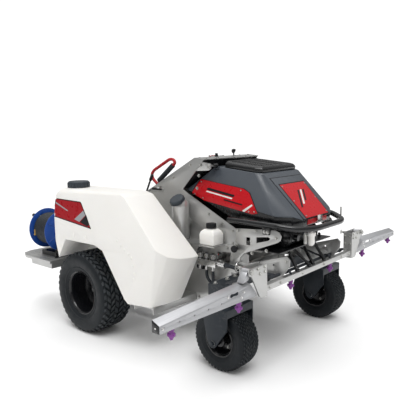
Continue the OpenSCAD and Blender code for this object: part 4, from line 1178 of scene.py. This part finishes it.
PAD_HALF = 190
PAD_HEIGHTS = (600, 786)
PAD_BACK, PAD_DEPTH = 62, 38
PAD_SEAMS = (-66, 66)
PAD_GRID = (96, 48)


def pad_piece():
    """Stitched knee pad: three crowned panels with sewn channels."""
    mid_z, half_h = sum(PAD_HEIGHTS) / 2, (PAD_HEIGHTS[1] - PAD_HEIGHTS[0]) / 2
    nu, nv = PAD_GRID
    bm = bmesh.new()

    def thick(u, v):
        a = (1 - min(1, abs(u) / PAD_HALF) ** 5) ** 0.42
        b = (1 - min(1, abs(v) / half_h) ** 4) ** 0.42
        seam = sum(math.exp(-((u - m) / 7) ** 2) for m in PAD_SEAMS)
        pucker = 0.8 * math.sin(v * 0.35) * sum(math.exp(-((u - m) / 16) ** 2) for m in PAD_SEAMS)
        return max(0, a * b * (PAD_DEPTH - 1 - 9 * seam) + pucker * a * b)

    front, rear = [], []
    for i in range(nu + 1):
        u = PAD_HALF * (2 * i / nu - 1)
        heights = [half_h * (2 * j / nv - 1) for j in range(nv + 1)]
        front.append([bm.verts.new(at(PAD_BACK - 0.4 - thick(u, v), u, mid_z + v)) for v in heights])
        rear.append([front[i][j] if i in (0, nu) or j in (0, nv) else bm.verts.new(at(PAD_BACK, u, mid_z + v))
                     for j, v in enumerate(heights)])
    for grid in (front, rear):
        for i in range(nu):
            for j in range(nv):
                bm.faces.new((grid[i][j], grid[i + 1][j], grid[i + 1][j + 1], grid[i][j + 1]))
    piece("thigh_pad_cushion", bm, "foam_pad", angle=80, stands_for="thigh_pad")


# ---------------------------------------------------------------- controls

LEVER_Y = 205
LEVER_PIN = (250, 868)
LEVER_LOOP = [(240, 878), (164, 934), (150, 964), (172, 992), (322, 1068), (356, 1066), (370, 1046),
              (214, 924), (258, 887)]
GRIP_ENDS = ((218, 927), (352, 1032))
GRIP_RIBS = 9
NECK_TOP = (526, -328, 798)
NECK_TILT = math.radians(35)
DASH = ((205, 880), (594, 1084))
DASH_BOX = 22


def lever_piece(side):
    """Red steel loop on a hub, with a ribbed foam grip."""
    node = f"{side}_lever"
    body = BODY_OF[node]
    y = LEVER_Y * (-1 if side == "right" else 1)
    loop = [(x, y, z) for x, z in LEVER_LOOP]
    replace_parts(tube(f"{node}_loop", loop, 10, "red_paint", 16, 20, body), node)
    turned(f"{node}_hub", [(9.3, -12), (16, -12), (17, -11), (17, 11), (16, 12), (9.3, 12), (9.3, -12)],
           (LEVER_PIN[0], y, LEVER_PIN[1]), LEFT, "red_paint", body, 40)
    a, b = [at(x, y, z) for x, z in GRIP_ENDS]
    length = (b - a).length / MM
    profile = [(10.2, 0), (14, 0), (16, 2)]
    for k in range(GRIP_RIBS):
        h = 8 + k * (length - 22) / GRIP_RIBS
        profile += [(16, h), (14.6, h + 1.6), (14.6, h + 3), (16, h + 4.6)]
    profile += [(16, length - 2), (14, length), (10.2, length)]
    turned(f"{node}_grip", profile, a, b - a, "grip_foam", body, 32, 60)


def bottle_piece():
    """Blow-moulded bottle with rounded shoulders and a short neck."""
    c = middle("oil_bottle")
    body = BODY_OF["oil_bottle"]
    bm = bmesh.new()
    spans = [(600.5, 46, 38), (606, 52.5, 44.5), (660, 52.5, 44.5), (678, 46, 38), (690, 30, 27)]
    hull_mesh(bm, [Vector((c.x + i * a * MM, c.y + j * b * MM, z * MM))
                   for z, a, b in spans for i in (-1, 1) for j in (-1, 1)])
    obj = add_object("oil_bottle_moulded", bm, "white_poly", body)
    bevel(obj, 8, 4, 12)
    sharp_smooth(obj, 50)
    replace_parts(obj, "oil_bottle")
    turned("oil_bottle_neck", [(0.1, 682), (24, 682), (22, 690), (20, 692), (20, 715), (0.1, 715)],
           Vector((c.x, c.y, 0)), UP, "white_poly", body, 40)


def cap_pieces():
    """Fuel cap on its filler pipe, bottle and its cap, and the tank lids."""
    axis = Vector((0, -math.sin(NECK_TILT), math.cos(NECK_TILT)))
    bm = bmesh.new()
    for profile, steps in (([(36.6, 39), (45, 39), (47, 40.5), (47, 42), (45.5, 43)], 64),
                           ([(45.5, 43), (46.5, 44), (46.5, 56), (43, 60.5), (37, 63), (0.5, 62)], 10),
                           ([(36.6, 39), (36.6, 48), (0.5, 48)], 64)):
        revolved(bm, profile, steps, NECK_TOP, axis)
    piece("fuel_cap_moulded", bm, "cap_plastic", "filler_cap", 25, "fuel_cap")
    refine("fuel_neck")
    turned("fuel_neck_collar", [(36.2, 24), (39, 25), (39, 33), (36.2, 34), (36.2, 24)], NECK_TOP, axis,
           "zinc_bolt", steps=56)
    refine("bottle_cap", 1.5, 3, "black_plastic")
    ribs = bmesh.new()
    for p in circle((768, -334, 697.4), 28, FORE, LEFT, 28)[:-1]:
        sweep(ribs, [p, p + UP * 0.020], 1.3, 6)
    piece("bottle_cap_ribs", ribs, "black_plastic", "reservoir_cap", 60)
    bottle_piece()
    for _, side in SIDES:
        lid_piece(side)


def control_pieces():
    """Levers, knobs, key, switches, screen and brake handle."""
    for _, side in SIDES:
        lever_piece(side)
    for node in ("throttle_lever", "brake_lever", "key_switch"):
        refine(node, 0.8)
    turned("throttle_knob", [(0.1, -18), (7, -17), (12, -10), (13.5, 0), (12, 6), (8, 9), (0.1, 9.5)],
           (600, 96, 1115), (0.2, 0, 1), "gloss_black", BODY_OF["throttle_lever"], 40)
    turned("key_bezel", [(11.4, 0), (15, 0), (15, 2), (13.5, 3), (11.4, 3), (11.4, 0)], (628, -110, 1080.5),
           (0.106, 0, 0.994), "bright_metal", steps=40)
    (x0, z0), (x1, z1) = DASH
    tilt = math.atan2(z1 - z0, x1 - x0)
    fore = Vector((math.cos(tilt), 0, math.sin(tilt)))
    up = Vector((-math.sin(tilt), 0, math.cos(tilt)))

    def on_dash(u, v, w=DASH_BOX):
        return at(x0, 0, z0) + fore * (u * MM) + LEFT * (v * MM) + up * (w * MM)

    def panel(name, u0, u1, half, level, thick, finish, round_mm):
        extruded(name, [(u0, -half), (u0, half), (u1, half), (u1, -half)],
                 lambda u, v, w: on_dash(u, v, level + w), thick, finish, round_mm=round_mm)

    panel("dash_screen_frame", 262, 332, 50, DASH_BOX, 5, "black_plastic", 1.5)
    panel("dash_screen_glass", 268, 326, 44, DASH_BOX + 5, 1, "rim_black", 0.3)
    bm = bmesh.new()
    for k in range(4):
        c = on_dash(362, -42 + k * 28)
        revolved(bm, [(9, 0), (9, 2), (7, 4), (4, 4.5)], 24, c, up, True)
        sweep(bm, [c, c + up * 0.013 + fore * 0.004, c + up * 0.020 + fore * 0.006], lambda t: 2.2 + 1.4 * t,
              12)
    piece("dash_toggles", bm, "black_plastic")
    bolts("dash_screws", [(on_dash(u, v), up) for u in (254, 396) for v in (-55, 55)], 3.5, height=2)


# ---------------------------------------------------------------- frame, tower and engine bay

TOWER_FACE, NOSE_FACE, FRAME_FACE = 273, 287, 281
TOWER_BOLTS = [(92, 590), (92, 700), (92, 776), (160, 842), (300, 900), (420, 962), (560, 1040), (640, 1040),
               (628, 980), (612, 905), (700, 760), (800, 712), (874, 680), (874, 610), (760, 585), (420, 590),
               (250, 590), (330, 700)]
NOSE_BOLTS = [(918, 612), (922, 690), (1040, 700), (1168, 676), (1015, 575), (1108, 600), (1228, 560),
              (960, 470), (1106, 430), (1022, 430)]
FRAME_BOLTS = [(-520, 290), (-360, 300), (-150, 420), (-60, 200), (90, 200), (180, 250), (180, 460),
               (300, 260), (300, 560), (460, 300), (620, 250), (560, 560), (700, 580), (840, 360), (840, 580)]
FRAME_EDGES = {"main_frame": 1.0, "nose_plates": 0.9, "front_beam": 2.5, "control_tower": 0.7,
               "console_panel": 0.7, "tower_front_cover": 1.0, "hood_latch": 0.8}


def frame_pieces():
    """Frame, nose plates with a black tray, beam and tower, with the bolts along them."""
    for node, width in FRAME_EDGES.items():
        obj = refine(node, width)
        if node == "nose_plates":
            obj.data.materials.append(MAT["black_paint"])
            for face in obj.data.polygons:
                c = face.center
                if 0.588 < c.z < 0.6 and abs(c.y) < 0.283 and c.x > at(985, 0, 0).x:
                    face.material_index = 1
    bolts("tower_side_bolts", side_pair(TOWER_FACE, TOWER_BOLTS), 6.5)
    bolts("nose_plate_bolts", side_pair(NOSE_FACE, NOSE_BOLTS), 7)
    bolts("frame_side_bolts", side_pair(FRAME_FACE, FRAME_BOLTS), 7)
    bolts("beam_bolts", [((932, y, 442), UP) for y in (-500, -400, -330, 330, 400, 500)], 9)
    lip = [((x, y, 1084 - (x - 594) * 0.107), UP) for x in (606, 656) for y in (-240, -150, 150, 240)]
    bolts("tower_lip_screws", lip, 4.5, height=2.5)


def tower_details():
    """Slot grips, hinge straps, hood rests, hose hook, knob and a peg."""
    grip = [(232, 876), (314, 876), (322, 881), (314, 887), (232, 887), (224, 881)]
    plate = [(214, 864), (330, 867), (330, 889), (214, 886)]
    strap = [(598, 1010), (626, 1010), (716, 1036), (712, 1050), (642, 1062), (622, 1042)]
    for s, side in SIDES:
        def on_side(u, v, w):
            return at(u, s * (TOWER_FACE + w), v)
        extruded(f"{side}_slot_grip", grip, on_side, 8, "black_plastic", round_mm=2.0)
        extruded(f"{side}_slot_plate", plate, on_side, 2, "silver_paint", round_mm=0.6)
        extruded(f"{side}_hinge_strap", strap, lambda u, v, w: at(u, s * (262.6 - w), v), 3, "zinc_bolt",
                 round_mm=0.8)
        turned(f"{side}_hood_pin_head", [(0.1, 5), (9, 5), (11, 3), (11, 0), (6, 0)],
               (HINGE[0], s * 269, HINGE[2]), (0, s, 0), "zinc_bolt", steps=32)
        turned(f"{side}_hood_rest", [(0.1, 14), (9, 14), (12, 11), (12, 0), (0.1, 0)], (1168, s * 270, 716),
               UP, "black_plastic", steps=32)
    tube("side_hook", [(945, -288, 520), (945, -318, 522), (945, -340, 510), (946, -346, 488),
                       (948, -336, 470), (950, -322, 474)], 4.5, "bright_metal", 14, 14)
    turned("side_knob", [(0.1, 34), (14, 34), (19, 30), (20, 22), (16, 14), (9, 12), (9, 0), (0.1, 0)],
           (912, -288, 588), -LEFT, "black_plastic", steps=36)
    tube("bumper_left_peg", [(1268, 246, 738), (1268, 246, 786)], 4.5, "zinc_bolt", 2, 14)


MUFFLER = (1120, 650)
FAN_TOP = (880, 0, 921)
HOSES = {  # route (ahead, y, z), radius, finish, bend, sides
    "dipstick_tube": ([(800, -120, 700), (776, -135, 760), (770, -138, 850)], 7, "engine_alloy", 30, 14),
    "battery_red_cable": ([(250, -60, 420), (250, -60, 440), (290, -150, 450), (420, -230, 430),
                           (600, -250, 460), (740, -240, 520)], 6, "red_paint", 40, 14),
    "battery_black_cable": ([(250, 60, 420), (250, 60, 440), (300, 140, 440), (330, 240, 400),
                             (330, 268, 360)],
                            6, "hose_rubber", 40, 14),
    "boom_supply_hose": ([(850, -315, 488), (910, -318, 486), (1040, -320, 470), (1150, -318, 486),
                          (1188, -330, 488)], 11, "hose_rubber", 50, 16),
    "fuel_line": ([(470, 120, 620), (500, 160, 580), (650, 190, 585), (760, 170, 640)], 4, "hose_rubber", 40,
                  12),
    "throttle_cable": ([(600, 96, 1056), (500, 96, 1006), (380, 100, 880), (352, 110, 700), (360, 125, 596),
                        (500, 150, 590), (650, 160, 590), (765, 150, 640), (782, 118, 700)], 3.5,
                       "hose_rubber", 60, 10),
    "vent_hose": ([(748, 20, 592), (1000, 120, 560), (1196, 150, 500)], 6, "hose_rubber", 60, 12),
}
PAIRED_HOSES = {  # the same, mirrored to both sides
    "plug_lead": ([(950, 196, 790), (985, 205, 800), (1005, 150, 790), (985, 100, 770), (960, 90, 745)], 4.2,
                  "hose_rubber", 30, 12),
    "tank_outlet_hose": ([(520, 424, 332), (520, 350, 328), (520, 283, 332)], 13, "hose_rubber", 40, 18),
    "control_cable": ([(250, 220, 600), (200, 225, 480), (120, 230, 400), (66, 222, 368)], 5, "hose_rubber",
                      60, 12),
}


def hose_pieces():
    """Held hoses and cables, with the clamps of the tank outlets."""
    for name, (route, *values) in HOSES.items():
        tube(name, route, *values)
    for k, (x, deep) in enumerate(((713, 395), (761, 402))):
        tube(f"valve_hose_{k + 1}", [(x, -315, 445), (x, -317, deep), (752, -305, 350), (750, -262, 342),
                                     (716, -190 + k * 30, 360), (660, -165, 430), (642, -141, 435)], 9,
             bend=26, sides=14)
    for s, side in SIDES:
        for name, (route, *values) in PAIRED_HOSES.items():
            tube(f"{side}_{name}", [(x, s * y, z) for x, y, z in route], *values)
        clamps = bmesh.new()
        for y in (404, 300):
            revolved(clamps, [(13.2, -6), (15, -6), (15, 6), (13.2, 6), (13.2, -6)], 32, (520, s * y, 332),
                     LEFT)
        piece(f"{side}_outlet_clamps", clamps, "zinc_bolt")


def engine_pieces():
    """Engine with fins and intake, exhaust, belt drive, pump and valves."""
    refine("engine", 2.0)
    refine("muffler", 5.0, 3)
    refine("battery", 4.0)
    for node in ("engine_pulley", "pump_pulley", "drive_belt", "spray_pump", "transaxles", "fuel_tank",
                 "strainer", "valve_block", "tank_cradles"):
        refine(node)
    seams = bmesh.new()
    for y in (-138, 138):
        revolved(seams, [(50, -3), (54, -2), (54, 2), (50, 3), (50, -3)], 48, (MUFFLER[0], y, MUFFLER[1]),
                 LEFT)
    piece("muffler_seams", seams, "engine_alloy")
    turned("dipstick_cap", [(0.1, 14), (10, 14), (12, 10), (12, 0), (0.1, 0)], (770, -138, 850), UP,
           "red_paint", steps=24)
    screen = bmesh.new()
    for a in turns(36):
        u = Vector((math.cos(a), math.sin(a), 0))
        sweep(screen, [at(*FAN_TOP) + u * r for r in (0.020, 0.084)], 1.3, 6)
    for r in (22, 50, 84):
        sweep(screen, circle(FAN_TOP, r, FORE, LEFT, 64), 1.8, 8, False)
    piece("engine_fan_screen", screen, "engine_alloy", angle=60)
    bolts("engine_feet_bolts", [((x, y, 622), UP) for x in (770, 1000) for y in (-140, 140)], 8)
    rings = bmesh.new()
    for k in range(3):
        for z in (506, 536):
            revolved(rings, [(10, 0), (16, 0.5), (16, 3), (10, 4)], 28, (665 + k * 48, -315, z), UP, True)
    piece("valve_coil_rings", rings, "black_plastic")


def build():
    """Makes every visible piece."""
    for _, side in SIDES:
        tyre_piece(side, "tyre")
        tyre_piece(side, "caster_tyre")
        drive_rim_piece(side)
        caster_rim_piece(side)
        fork_piece(side)
        tank_piece(side)
    hood_piece()
    grille_piece()
    bumper_piece()
    boom_pieces()
    reel_pieces()
    platform_pieces()
    pad_piece()
    control_pieces()
    cap_pieces()
    engine_pieces()
    hose_pieces()
    frame_pieces()
    tower_details()


make_camera()
make_stage()
build()
